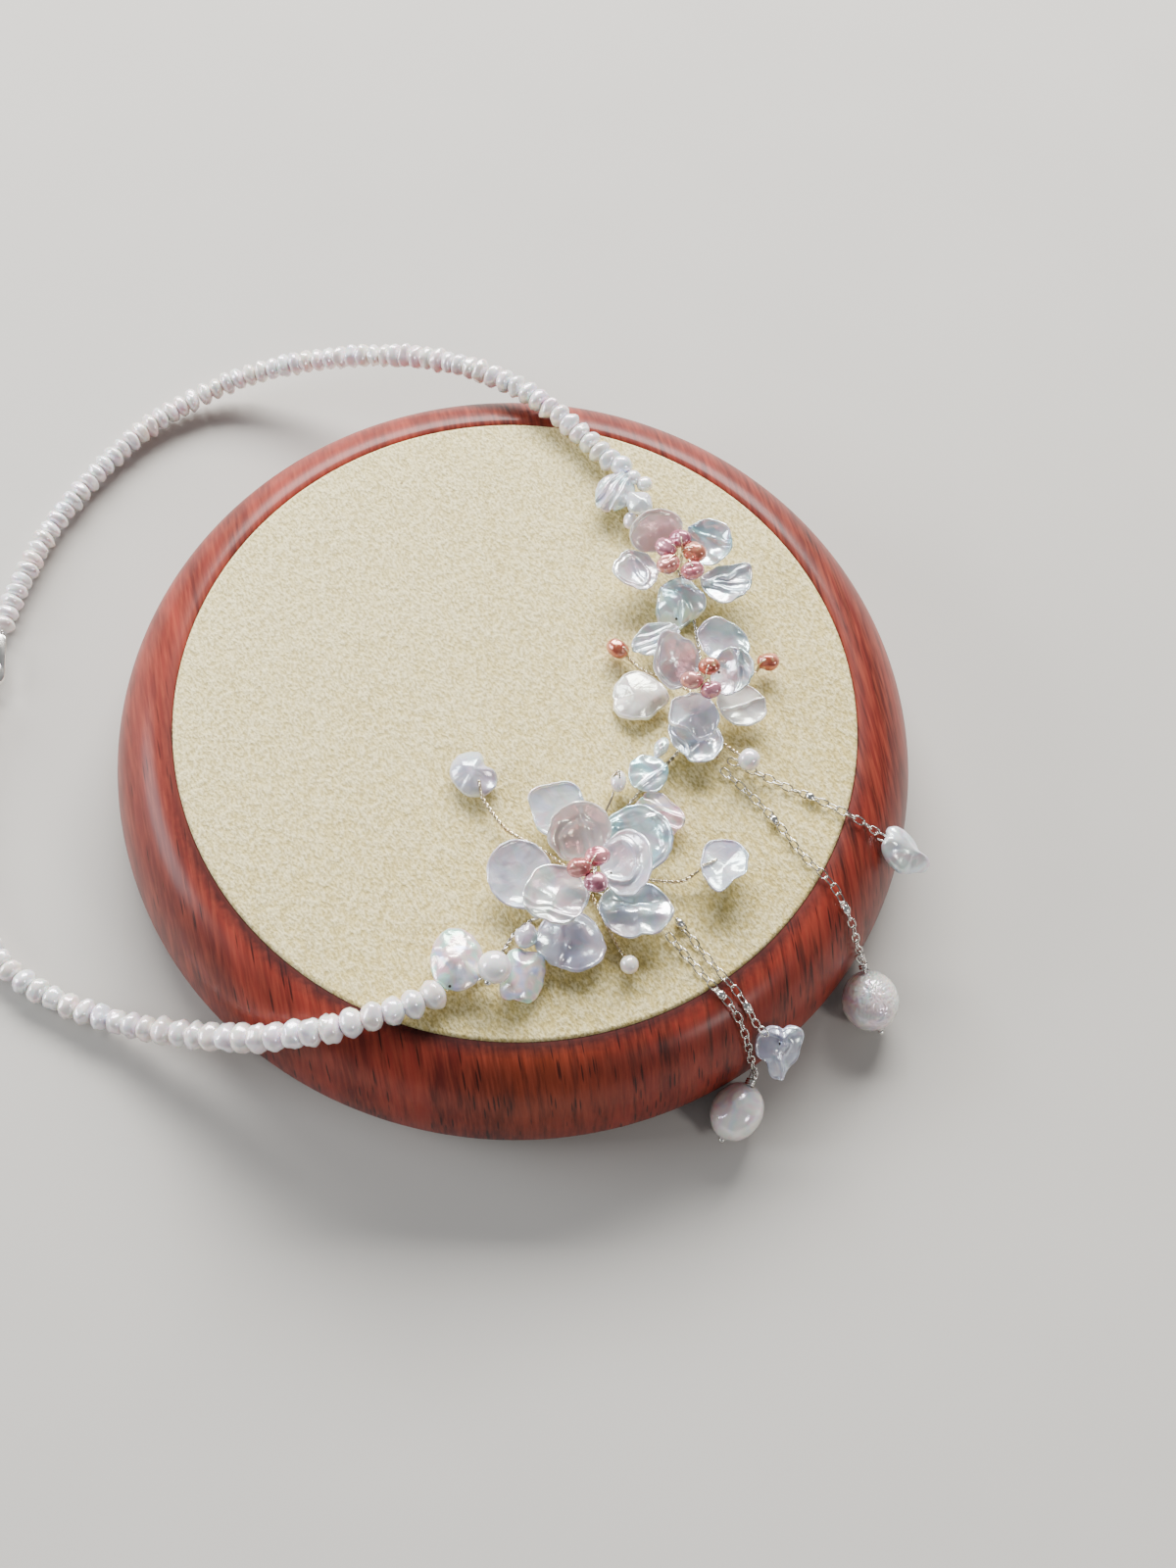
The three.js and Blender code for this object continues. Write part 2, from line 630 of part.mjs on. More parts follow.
const plate = new THREE.Shape();
plate.absarc(CLASP_X, HOOK.y, HOOK.radius, Math.PI, 2 * Math.PI, false);
plate.absarc(CLASP_X, TAIL.y, TAIL.radius, 0, Math.PI, false);
plate.closePath();
const eye = new THREE.Path();
eye.absellipse(CLASP_X, EYE.y, EYE.halfWidth, EYE.halfLength, 0, 2 * Math.PI, true);
plate.holes.push(eye);
const plateGeometry = new THREE.ExtrudeGeometry(plate, {
  depth: CLASP_THICKNESS, bevelEnabled: false, curveSegments: 6,
});
plateGeometry.translate(0, 0, CLASP_UNDERSIDE);
add('clasp', sealed(plateGeometry), silver);

const ringGeometry = new THREE.TorusGeometry(RING.radius, RING.wireRadius, 4, 14);
ringGeometry.rotateY(Math.PI / 2);
ringGeometry.translate(CLASP_X, RING.y, RING.radius + RING.wireRadius + TABLE_GAP);
add('clasp_ring', sealed(ringGeometry), silver);

export default choker;
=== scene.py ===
# Looks of a freshwater pearl choker laid out on its round display board. Metres, +Z up, in the
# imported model's frame: the origin is the centre of the board's underside.
import bisect
import math
import random
from collections import namedtuple

import bmesh
import bpy
from mathutils import Matrix, Vector, noise
from mathutils.geometry import interpolate_bezier


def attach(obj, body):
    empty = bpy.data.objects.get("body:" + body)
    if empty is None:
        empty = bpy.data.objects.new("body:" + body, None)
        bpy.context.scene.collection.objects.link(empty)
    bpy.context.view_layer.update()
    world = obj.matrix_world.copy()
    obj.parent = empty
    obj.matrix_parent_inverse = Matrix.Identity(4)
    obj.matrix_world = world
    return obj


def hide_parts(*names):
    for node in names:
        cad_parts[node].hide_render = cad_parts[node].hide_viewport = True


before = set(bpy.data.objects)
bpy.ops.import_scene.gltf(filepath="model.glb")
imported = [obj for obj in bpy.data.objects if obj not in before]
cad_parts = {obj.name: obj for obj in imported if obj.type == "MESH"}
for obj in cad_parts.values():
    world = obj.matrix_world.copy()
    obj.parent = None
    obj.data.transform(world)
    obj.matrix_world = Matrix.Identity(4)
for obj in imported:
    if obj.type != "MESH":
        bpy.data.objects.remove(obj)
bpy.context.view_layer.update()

# ---- Camera ----
# Held over the near side of the board and looking down on it, leaning back a little and
# turned slightly against the clock.
CAMERA_PLACE = Vector((0.01373, -0.16661, 0.36529))
CAMERA_LEAN = math.radians(24.34)
CAMERA_TURN = math.radians(6.33)
CAMERA_LENS = 49.5

camera = bpy.data.objects.new("camera", bpy.data.cameras.new("camera"))
camera.data.lens = CAMERA_LENS
camera.data.clip_start = 0.01
camera.matrix_world = (
    Matrix.Translation(CAMERA_PLACE)
    @ Matrix.Rotation(CAMERA_LEAN, 4, "X")
    @ Matrix.Rotation(CAMERA_TURN, 4, "Z")
)
bpy.context.collection.objects.link(camera)
bpy.context.scene.camera = camera

# ---- Floor and studio light ----
# A plain pale floor. One wide soft window stands behind the board and a smaller one to its
# left, a narrow lamp to the right front gives the rim its last glints, and the room fills in.
FLOOR_SIZE = 4
FLOOR_DROP = 0.0001  # keeps the floor clear of the board's underside
LIGHT_AIM = Vector((0, 0, 0.02))


def colour(code):
    """A screen colour such as 8e2a1a as the linear red, green, blue and alpha of a shader."""
    shares = [int(code[i:i + 2], 16) / 255 for i in (0, 2, 4)]
    return [s / 12.92 if s <= 0.04045 else ((s + 0.055) / 1.055) ** 2.4 for s in shares] + [1]


def plug(made, **sockets):
    """Sets a node's sockets, each to a value or to another node's output."""
    for socket, value in sockets.items():
        socket = made.inputs[int(socket[1:]) if socket[0] == "_" else socket.replace("_", " ")]
        if isinstance(value, bpy.types.NodeSocket):
            made.id_data.links.new(value, socket)
        else:
            socket.default_value = value
    return made


def node(beside, kind, settings=None, **sockets):
    """Adds a node to the material of another one, with its own options and its sockets set."""
    made = beside.id_data.nodes.new("ShaderNode" + kind)
    for setting, value in (settings or {}).items():
        setattr(made, setting, value)
    return plug(made, **sockets)


def finish_with(name, **sockets):
    """A new material, its shader with its own sockets set, and the place on the object."""
    material = bpy.data.materials.new(name)
    material.use_nodes = True
    shader = plug(material.node_tree.nodes["Principled BSDF"], **sockets)
    return material, shader, node(shader, "TexCoord").outputs["Object"]


def clouds(place, scale, detail=2.0, **more):
    """Soft noise with about so many swells to the metre."""
    made = node(place, "TexNoise", None, Vector=place, Scale=scale, Detail=detail, **more)
    return made.outputs["Fac"]


def blend_colours(share, first, second):
    """Mixes two colours, each a code or another node's output, by a share."""
    first, second = (colour(tint) if isinstance(tint, str) else tint for tint in (first, second))
    return node(share, "Mix", {"data_type": "RGBA"}, _0=share, _6=first, _7=second).outputs[2]


def solid(name, shape, finish):
    """A piece made of the shape, in one finish."""
    mesh = bpy.data.meshes.new(name)
    shape.to_mesh(mesh)
    shape.free()
    mesh.materials.append(finish)
    piece = bpy.data.objects.new(name, mesh)
    bpy.context.collection.objects.link(piece)
    return piece


def stand_along(place, direction, track="Z", up="Y"):
    """The move that takes the origin to a place and the track axis to a direction."""
    return Matrix.Translation(place) @ direction.to_track_quat(track, up).to_matrix().to_4x4()


paper, shader, place = finish_with("floor_paper", Roughness=0.9)
plug(shader, Base_Color=blend_colours(clouds(place, 30.0, 4.0), "bfbcb7", "b9b6b1"))
shape = bmesh.new()
bmesh.ops.create_grid(shape, x_segments=2, y_segments=2, size=FLOOR_SIZE / 2)
bmesh.ops.translate(shape, verts=shape.verts, vec=(0, 0, -FLOOR_DROP))
solid("floor", shape, paper)


def soft_light(name, place, width, height, power, tint):
    """A rectangular soft box that faces the board."""
    lamp = bpy.data.lights.new(name, "AREA")
    lamp.shape = "RECTANGLE"
    lamp.size = width
    lamp.size_y = height
    lamp.energy = power
    lamp.color = tint
    box = bpy.data.objects.new(name, lamp)
    box.matrix_world = stand_along(place, LIGHT_AIM - Vector(place), "-Z")
    bpy.context.collection.objects.link(box)


soft_light("back_window", (-0.10, 0.98, 0.72), 1.2, 0.5, 57, (1.0, 0.985, 0.955))
soft_light("left_window", (-1.1, 0.0, 0.42), 0.62, 0.50, 14.0, (0.93, 0.965, 1.0))
soft_light("right_lamp", (0.72, -0.50, 0.55), 0.18, 0.22, 2.6, (1.0, 0.98, 0.95))

room = bpy.data.worlds.new("room")
room.use_nodes = True
plug(room.node_tree.nodes["Background"], Color=(0.84, 0.86, 0.90, 1), Strength=0.27)
bpy.context.scene.world = room

# ---- Turned rim of the display board ----
# A disc of red hardwood turned on a lathe: a quarter-oval shoulder, an undercut down to the
# foot, and a shallow recess that takes the pad. Open pores, stained and varnished to a gloss.
PAD_RADIUS = 0.060
PAD_TOP = 0.024
PAD_THICKNESS = 0.0034
GAP = 0.0003
BOARD_RADIUS = 0.072
BOARD_WAIST_HEIGHT = 0.0062
RIM_TOP = 0.0238
RIM_INNER_RADIUS = PAD_RADIUS + GAP
RIM_LIP_FALL = 0.00030  # how far the wood rounds down to the edge of the recess
RECESS_FLOOR = PAD_TOP - PAD_THICKNESS - GAP
FOOT_RADIUS = 0.064
FOOT_ROUNDING = 0.0006
WOOD_GRAIN = 18  # degrees that the fibres slant to the left of the far side
# middle of a painted glow of light, paler orange, on the near side of the rim
WOOD_GLOW_MIDDLE = (0.012, -0.066, 0.019)
SHADE_BAND_WIDTH = 0.0022  # a band beside the pad on the near side, painted darker as shade, and left matte


def oval_arc(middle, across, high, first, last, steps):
    """Points of radius and height on an oval arc between two turns in degrees."""
    turns = [math.radians(first + (last - first) * step / steps) for step in range(steps + 1)]
    return [(middle[0] + across * math.cos(t), middle[1] + high * math.sin(t)) for t in turns]


def turned(profile, sides):
    """A profile of radius and height turned all the way about the vertical axis."""
    shape = bmesh.new()
    corners = [shape.verts.new((radius, 0, height)) for radius, height in profile]
    edges = [shape.edges.new(pair) for pair in zip(corners, corners[1:])]
    bmesh.ops.spin(shape, geom=corners + edges, cent=(0, 0, 0), axis=(0, 0, 1),
                   angle=2 * math.pi, steps=sides, use_merge=True)
    bmesh.ops.remove_doubles(shape, verts=shape.verts, dist=1e-6)
    bmesh.ops.recalc_face_normals(shape, faces=shape.faces)
    return shape


def fixed(piece, nodes):
    """Fixes a piece to the part, in place of the CAD nodes that it stands for."""
    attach(piece, "root")
    if nodes:
        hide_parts(*nodes)
    return piece


def set_down(name, shape, finish, slot, *nodes, crisp=None):
    """Makes the shape a smooth piece of the part, with crisp edges past so many degrees."""
    piece = solid(name, shape, finish)
    piece.data.shade_smooth()
    if crisp:
        piece.data.set_sharp_from_angle(angle=math.radians(crisp))
    return fixed(piece, nodes)


def worked_out(operation, first, *others):
    """The product, the difference or another sum of values."""
    sockets = {f"_{number}": value for number, value in enumerate((first, *others))}
    return node(first, "Math", {"operation": operation}, **sockets).outputs[0]


def between(value, low, high, start=0.0, end=1.0):
    """Spreads the stretch of a value from low to high over start to end, and clamps it."""
    made = node(value, "MapRange", None, Value=value, From_Min=low, From_Max=high,
                To_Min=start, To_Max=end)
    return made.outputs["Result"]


def lay_over(body, tint, value, low, high, most=1.0):
    """Lays a tint over a body: none of it where a value is low, and the most where it is high."""
    return blend_colours(between(value, low, high, 0, most), body, tint)


def relief(height, strength, depth, below=None):
    """A bump of so many metres' depth, on top of another bump if one is given."""
    more = {"Normal": below} if below else {}
    made = node(height, "Bump", None, Height=height, Strength=strength, Distance=depth, **more)
    return made.outputs["Normal"]


def drawn_out(place, turn, stretch):
    """The place for a pattern that is drawn out along a line turned by so many degrees."""
    made = node(place, "Mapping", {"vector_type": "TEXTURE"}, Vector=place,
                Rotation=(0, 0, math.radians(turn)), Scale=stretch)
    return made.outputs["Vector"]


def varnished_wood():
    """Red hardwood: fibres and open pores lie along one slanting line through the whole disc.

    The dark figure is strongest to the right, and a painted orange glow of light lies on the near
    side.
    """
    finish, shader, place = finish_with("varnished_red_wood", IOR=1.26, Coat_Roughness=0.25,
                                        Coat_IOR=1.36)
    across, nearby, _ = node(place, "SeparateXYZ", None, Vector=place).outputs
    grain = drawn_out(place, WOOD_GRAIN, (1, 14, 9.8))
    broad = clouds(grain, 80.0, 3.0, Roughness=0.6, Distortion=0.5)
    red = lay_over("4c1714", "852f24", broad, 0.36, 0.62)
    # painted light: the wood turns paler orange within 4 to 17 mm of the glow's middle (heart is that
    # distance)
    heart = node(place, "VectorMath", {"operation": "DISTANCE"}, _0=place, _1=WOOD_GLOW_MIDDLE)
    red = lay_over(red, "9c4420", heart.outputs["Value"], 0.017, 0.004, 0.40)
    bands = clouds(grain, 760.0, 4.0, Roughness=0.65, Distortion=0.3)
    figure = worked_out("MULTIPLY", between(bands, 0.48, 0.66, 0, 0.85),
                        between(across, -0.04, 0.06, 0.40, 1))
    red = blend_colours(figure, red, "30100c")
    fibres = clouds(grain, 1900.0)
    red = lay_over(red, "a04834", fibres, 0.40, 0.70, 0.45)
    cells = node(place, "TexVoronoi", None, Vector=drawn_out(place, WOOD_GRAIN, (1, 15, 10.5)),
                 Scale=1500.0).outputs["Distance"]
    size = between(clouds(grain, 240.0), 0.34, 0.60, 0.17, 0.30)
    pores = between(worked_out("SUBTRACT", size, cells), 0.0, 0.10)
    # painted sheen: the pores fade towards the far side, standing in for the gloss's reflection over
    # them
    dark = worked_out("MULTIPLY", pores, between(nearby, 0.02, -0.03, 0.15, 0.85))
    red = blend_colours(dark, red, "2c0c08")
    flat = node(place, "VectorMath", {"operation": "MULTIPLY"}, _0=place, _1=(1, 1, 0)).outputs[0]
    out = node(place, "VectorMath", {"operation": "LENGTH"}, _0=flat).outputs["Value"]
    # painted shade: a dark band on the wood beside the pad, on the near side only, where the crevice
    # lies in shade; it is also left rough and without coat
    frayed = worked_out("MULTIPLY_ADD", clouds(place, 900.0, 3.0), -0.0020, out)
    shade_band = worked_out("MULTIPLY", between(frayed, PAD_RADIUS, PAD_RADIUS + SHADE_BAND_WIDTH, 1, 0),
                      between(nearby, 0.010, -0.040, 0, 0.85))
    red = blend_colours(shade_band, red, "2b1314")
    plug(shader, Base_Color=red, Roughness=between(shade_band, 0, 1, 0.48, 0.9),
         Coat_Weight=between(shade_band, 0, 0.6, 0.34, 0),
         Normal=relief(fibres, 0.25, 0.00003, relief(pores, -0.5, 0.00005)),
         Coat_Normal=relief(clouds(place, 420.0), 0.22, 0.00007, relief(pores, -0.3, 0.00003)))
    return finish


undercut = [(FOOT_RADIUS + (BOARD_RADIUS - FOOT_RADIUS) * math.sin(turn),
             BOARD_WAIST_HEIGHT * (1 - math.cos(turn)))
            for turn in (math.radians(90 * step / 12) for step in range(1, 12))]
shoulder = oval_arc((RIM_INNER_RADIUS, BOARD_WAIST_HEIGHT), BOARD_RADIUS - RIM_INNER_RADIUS,
                    RIM_TOP - BOARD_WAIST_HEIGHT, 0, 85, 28)
crest_radius, crest_height = shoulder[-1]
lip = oval_arc((crest_radius, crest_height - RIM_LIP_FALL), crest_radius - RIM_INNER_RADIUS,
               RIM_LIP_FALL, 98, 180, 8)
rim_profile = [(0, 0), (FOOT_RADIUS - FOOT_ROUNDING, 0), *undercut, *shoulder, *lip,
               (RIM_INNER_RADIUS, RECESS_FLOOR), (0, RECESS_FLOOR)]
set_down("turned_rim", turned(rim_profile, 240), varnished_wood(), "wood", "board_rim", crisp=40)

# ---- Suede pad ----
# A disc of board padded with thin foam and covered in cream suede, pulled round its edge and
# pressed into the recess. The nap shows as fine slanting flecks, with a few dark specks.
PAD_ROUNDING = 0.0007
PAD_BULGE = 0.00025  # foam swells the edge almost to the wood


def cream_suede():
    """Suede: flecks about a third of a millimetre wide, brushed one way, a soft bloom, and painted
    light that falls off towards the near right.
    """
    finish, shader, place = finish_with("cream_suede", Roughness=0.95, IOR=1.4,
                                        Sheen_Weight=0.25, Sheen_Roughness=0.45,
                                        Sheen_Tint=colour("f6ecd0"))
    brushed = drawn_out(place, 38, (1, 1.7, 1))
    flecks = clouds(brushed, 2300.0, 3.0, Roughness=0.65)
    clumps = clouds(brushed, 1150.0)
    across, nearby, _ = node(place, "SeparateXYZ", None, Vector=place).outputs
    # painted light: the cream is paler to the left and far side and darker and yellower to the right
    # and near side, as the light falls off
    cream = lay_over("eddea4", "d9c47c", worked_out("SUBTRACT", across, nearby), -0.06, 0.07)
    cream = lay_over(cream, "d8c685", clouds(place, 38.0), 0.40, 0.65, 0.20)
    cream = lay_over(cream, "fbf1c4", clumps, 0.38, 0.62, 0.50)
    cream = lay_over(cream, "978655", flecks, 0.58, 0.38, 0.64)
    cream = lay_over(cream, "6a5335", clouds(place, 620.0, 1.0), 0.80, 0.83, 0.8)
    plug(shader, Base_Color=cream,
         Normal=relief(flecks, 1.0, 0.00020, relief(clumps, 1.0, 0.00028)))
    return finish


rolled_edge = oval_arc((PAD_RADIUS + PAD_BULGE - PAD_ROUNDING, PAD_TOP - PAD_ROUNDING),
                       PAD_ROUNDING, PAD_ROUNDING, 0, 90, 10)
pad_profile = [(0, PAD_TOP - PAD_THICKNESS), (PAD_RADIUS - 0.0006, PAD_TOP - PAD_THICKNESS),
               *rolled_edge, (0.050, PAD_TOP), (0.036, PAD_TOP), (0.018, PAD_TOP), (0, PAD_TOP)]
pad = set_down("suede_cushion", turned(pad_profile, 192), cream_suede(), "suede", "suede_pad")

# ---- Two strings of button pearls ----
# Freshwater buttons 4.6 mm wide on one thread, flat and close in the far string and rounder
# in the near one, which grows towards the flowers. Each is out of round, grooved and tilted.
PEARL_DIAMETER = 0.0046
TABLE_GAP = 0.0001
ON_TABLE = PEARL_DIAMETER / 2 + TABLE_GAP
FAR_ROUTE = (
    (0.0123, 0.0515, 0.0266), (0.0067, 0.0561, 0.0266), (-0.0013, 0.0626, 0.0265),
    (-0.0093, 0.0676, 0.0256), (-0.0211, 0.0730, 0.0224), (-0.0331, 0.0768, 0.0172),
    (-0.0472, 0.0784, 0.0110), (-0.0609, 0.0768, 0.0060), (-0.0720, 0.0713, 0.0032),
    (-0.0821, 0.0617, ON_TABLE), (-0.0935, 0.0413, ON_TABLE), (-0.0983, 0.0232, ON_TABLE),
    (-0.0992, 0.0156, ON_TABLE),
)
NEAR_ROUTE = (
    (-0.0062, -0.0534, 0.0266), (-0.0121, -0.0570, 0.0266), (-0.0181, -0.0595, 0.0264),
    (-0.0241, -0.0617, 0.0252), (-0.0300, -0.0624, 0.0223), (-0.0364, -0.0624, 0.0182),
    (-0.0434, -0.0616, 0.0134), (-0.0505, -0.0604, 0.0090), (-0.0628, -0.0581, 0.0039),
    (-0.0749, -0.0547, ON_TABLE), (-0.0845, -0.0496, ON_TABLE), (-0.0946, -0.0374, ON_TABLE),
    (-0.0992, -0.0220, ON_TABLE), (-0.0998, -0.0090, ON_TABLE), (-0.0990, -0.0001, ON_TABLE),
)


def smooth_route(points, steps=12):
    """A smooth curve through the points, the same centripetal spline as in the CAD."""
    knots = [Vector(point) for point in points]
    ends = [2 * knots[0] - knots[1], *knots, 2 * knots[-1] - knots[-2]]
    route = [knots[0]]
    for a, b, c, d in zip(ends, ends[1:], ends[2:], ends[3:]):
        first, middle, last = (math.sqrt((q - p).length) for p, q in ((a, b), (b, c), (c, d)))
        leaving = (b - a) / first - (c - a) / (first + middle) + (c - b) / middle
        arriving = (c - b) / middle - (d - b) / (middle + last) + (d - c) / last
        reach = middle / 3
        route += interpolate_bezier(b, b + leaving * reach, c - arriving * reach, c, steps + 1)[1:]
    return route


class Run:
    """A route that can be asked for the place and direction at a distance along it."""

    def __init__(self, points):
        self.route = smooth_route(points)
        self.marks = [0.0]
        for before, after in zip(self.route, self.route[1:]):
            self.marks.append(self.marks[-1] + (after - before).length)
        self.length = self.marks[-1]

    def at(self, distance):
        last = min(max(bisect.bisect_right(self.marks, distance), 1), len(self.route) - 1)
        before, after = self.route[last - 1], self.route[last]
        share = (distance - self.marks[last - 1]) / (self.marks[last] - self.marks[last - 1])
        return before.lerp(after, share), (after - before).normalized()


def with_overtones(place, body, share):
    """Nacre's play of colour: soft pink, green and blue clouds a few millimetres across."""
    drift = node(place, "TexNoise", None, Vector=place, Scale=230.0, Detail=1.0, Distortion=1.5)
    hues = node(place, "SeparateColor", None, Color=drift.outputs["Color"])
    for channel, hue in (("Blue", "c3ccf6"), ("Green", "bfe8d8"), ("Red", "f2bfd2")):
        body = lay_over(body, hue, hues.outputs[channel], 0.48, 0.66, share)
    return body


def pearl_skin(name, light, cream, play):
    """Nacre of a white pearl: a satin body under a clear gloss, tinted pearl by pearl."""
    finish, shader, place = finish_with(name, Roughness=0.22, IOR=1.6, Metallic=0.15,
                                        Subsurface_Weight=0.30, Subsurface_Scale=0.0010,
                                        Coat_Weight=1.0, Coat_Roughness=0.10, Coat_IOR=1.70,
                                        Thin_Film_Thickness=320.0, Thin_Film_IOR=1.40)
    tint = node(place, "Attribute", {"attribute_name": "tint"}).outputs["Fac"]
    swirls = clouds(place, 700.0, Distortion=0.6)
    swells = relief(swirls, 0.30, 0.00016)
    plug(shader, Base_Color=with_overtones(place, lay_over(light, cream, tint, 0, 1), play),
         Normal=relief(clouds(place, 1800.0, 3.0), 0.12, 0.00003, swells),
         Coat_Normal=relief(swirls, 0.20, 0.00014))
    return finish


white_pearl = pearl_skin("white_pearl_nacre", "fafdff", "f9f0e6", 0.26)


def any_shift(dice, reach):
    """A step of up to so much along each axis, to start a noise somewhere else."""
    return Vector([dice.uniform(-reach, reach) for _ in range(3)])


def add_pearl(shape, tint_layer, middle, axis, width, thickness, dice):
    """One drilled pearl threaded on the axis, pressed flat where it meets its neighbours."""
    made = bmesh.ops.create_uvsphere(shape, u_segments=24, v_segments=14, radius=1)["verts"]
    seed = any_shift(dice, 50)
    groove = dice.uniform(-0.5, 0.5)
    lumps = dice.uniform(0.10, 0.26)
    tint = dice.random()
    half = thickness / 2
    for vert in made:
        direction = vert.co.copy()
        swell = 1 + lumps * noise.noise(direction * 1.3 + seed)
        swell += 0.06 * noise.noise(direction * 3.0 + seed)
        swell -= 0.045 * math.exp(-((direction.z - groove) / 0.13) ** 2)
        across = width / 2 * swell
        high = math.copysign(abs(direction.z) ** 0.95, direction.z) * half * 1.08
        vert.co = (direction.x * across, direction.y * across, max(-half, min(half, high)))
        vert[tint_layer] = tint
    lean = axis.orthogonal().normalized() * math.tan(math.radians(dice.uniform(0, 12)))
    lean.rotate(Matrix.Rotation(dice.uniform(0, 2 * math.pi), 3, axis))
    bmesh.ops.transform(shape, matrix=stand_along(middle, axis + lean), verts=made)
    for vert in made:
        vert.co.z = max(vert.co.z, TABLE_GAP)


def thread_string(name, node_name, points, squash, sizes):
    """Threads one string's pearls, in stretches of one node each: sizes are pitch and width."""
    run = Run(points)
    dice = random.Random(name)
    for stretch, (pitch, wide) in enumerate(sizes):
        start = run.length * stretch / len(sizes) + GAP / 2
        end = run.length * (stretch + 1) / len(sizes) - GAP / 2
        count = round((end - start) / pitch)
        step = (end - start) / count
        shape = bmesh.new()
        tint_layer = shape.verts.layers.float.new("tint")
        for pearl in range(count):
            middle, axis = run.at(start + (pearl + 0.5) * step)
            width = wide * dice.uniform(0.92, 1.01)
            add_pearl(shape, tint_layer, middle, axis, width, step * squash, dice)
        number = stretch + 1
        set_down(f"{name}_{number}", shape, white_pearl, "white_pearl", f"{node_name}_{number}")


thread_string("far_pearls", "far_string", FAR_ROUTE, 1.03,
              [(0.0027, 0.0046), *[(0.0025, PEARL_DIAMETER)] * 4])
thread_string("near_pearls", "near_string", NEAR_ROUTE, 1.06,
              [(0.0034, 0.0053), (0.0034, 0.0052), (0.0031, 0.0049), (0.0029, PEARL_DIAMETER),
               (0.0028, PEARL_DIAMETER)])

# ---- Keshi petals of the three flowers ----
# Flat freshwater keshi, all nacre: thin dished lenses with a thick bright rim, folded and
# crumpled, drilled near one end and wired to the frame. No two are alike in form or tint.
OUTLINES = {
    "round": (1, 1, 1, 1, 0.95, 1, 1, 1),
    "fan": (0.95, 1.05, 1, 0.86, 0.85, 0.86, 1, 1.05),
    "drop": (1, 0.9, 1, 0.9, 0.9, 0.9, 1, 0.9),
    "point": (1.1, 0.92, 0.95, 0.95, 0.9, 0.95, 0.95, 0.88),
    "shield": (1.12, 0.8, 0.97, 1.06, 1.03, 1.06, 0.9, 0.9),
    "scoop": (0.95, 1.12, 0.72, 0.78, 1, 0.95, 1.02, 0.98),
    "block": (0.95, 1.14, 0.95, 1.1, 0.95, 1.08, 0.98, 1.12),
    "heart": (0.86, 1.08, 1.02, 0.86, 0.95, 0.9, 1.02, 1.05),
    "kite": (0.95, 0.7, 1, 0.85, 1, 0.94, 0.9, 0.98),
    "sail": (0.95, 0.95, 0.94, 1, 0.9, 1.12, 0.78, 0.7),
    "lobe": (0.9, 1.12, 1.06, 0.85, 1.04, 1.1, 1.04, 0.8),
    "notch": (0.62, 1, 1.02, 0.98, 0.9, 1, 1.1, 1),
    "wing": (1.05, 0.62, 0.8, 1.05, 0.95, 1, 0.95, 0.8),
    "star": (1.12, 0.76, 0.84, 1.18, 0.88, 1.06, 0.92, 0.68),
}
THIN_LIMIT = 0.0019  # thinner keshi are petals with a rolled rim, thicker ones are nuggets
# A keshi's tip points along its head, lifted by its lean and rolled about its length, all in
# degrees. The places and widths of its marks are shares of its half size, their turns are in
# degrees from its tip and their heights in metres. A fold bends all that lies right of a line
# that is offset to the right, a welt is a ridge on such a line, and a ring is a round ridge,
# or a knob where it has no radius.
Keshi = namedtuple("Keshi", "x y z long wide thick cup head lean outline nacre crumple marks roll",
                   defaults=[0])
Fold = namedtuple("Fold", "turn offset height width")
Welt = namedtuple("Welt", "turn offset height width")
Ring = namedtuple("Ring", "x y radius height width")


def reach_at(outline, turn):
    """How far the edge stands out at a turn, eased between the outline's eight reaches."""
    place = (turn % (2 * math.pi)) / (2 * math.pi) * len(outline)
    before = int(place) % len(outline)
    share = (1 - math.cos((place - int(place)) * math.pi)) / 2
    return outline[before] * (1 - share) + outline[(before + 1) % len(outline)] * share


def raised_at(x, y, marks):
    """How far a petal's face is raised at a place by its marks."""
    raised = 0.0
    for mark in marks:
        if isinstance(mark, Ring):
            aside = math.hypot(x - mark.x, y - mark.y) - mark.radius
        else:
            turn = math.radians(mark.turn)
            aside = x * math.sin(turn) - y * math.cos(turn) - mark.offset
        if isinstance(mark, Fold):
            raised += mark.height * (aside + math.hypot(aside, mark.width)) / 2
        else:
            raised += mark.height * math.exp(-((aside / mark.width) ** 2))
    return raised


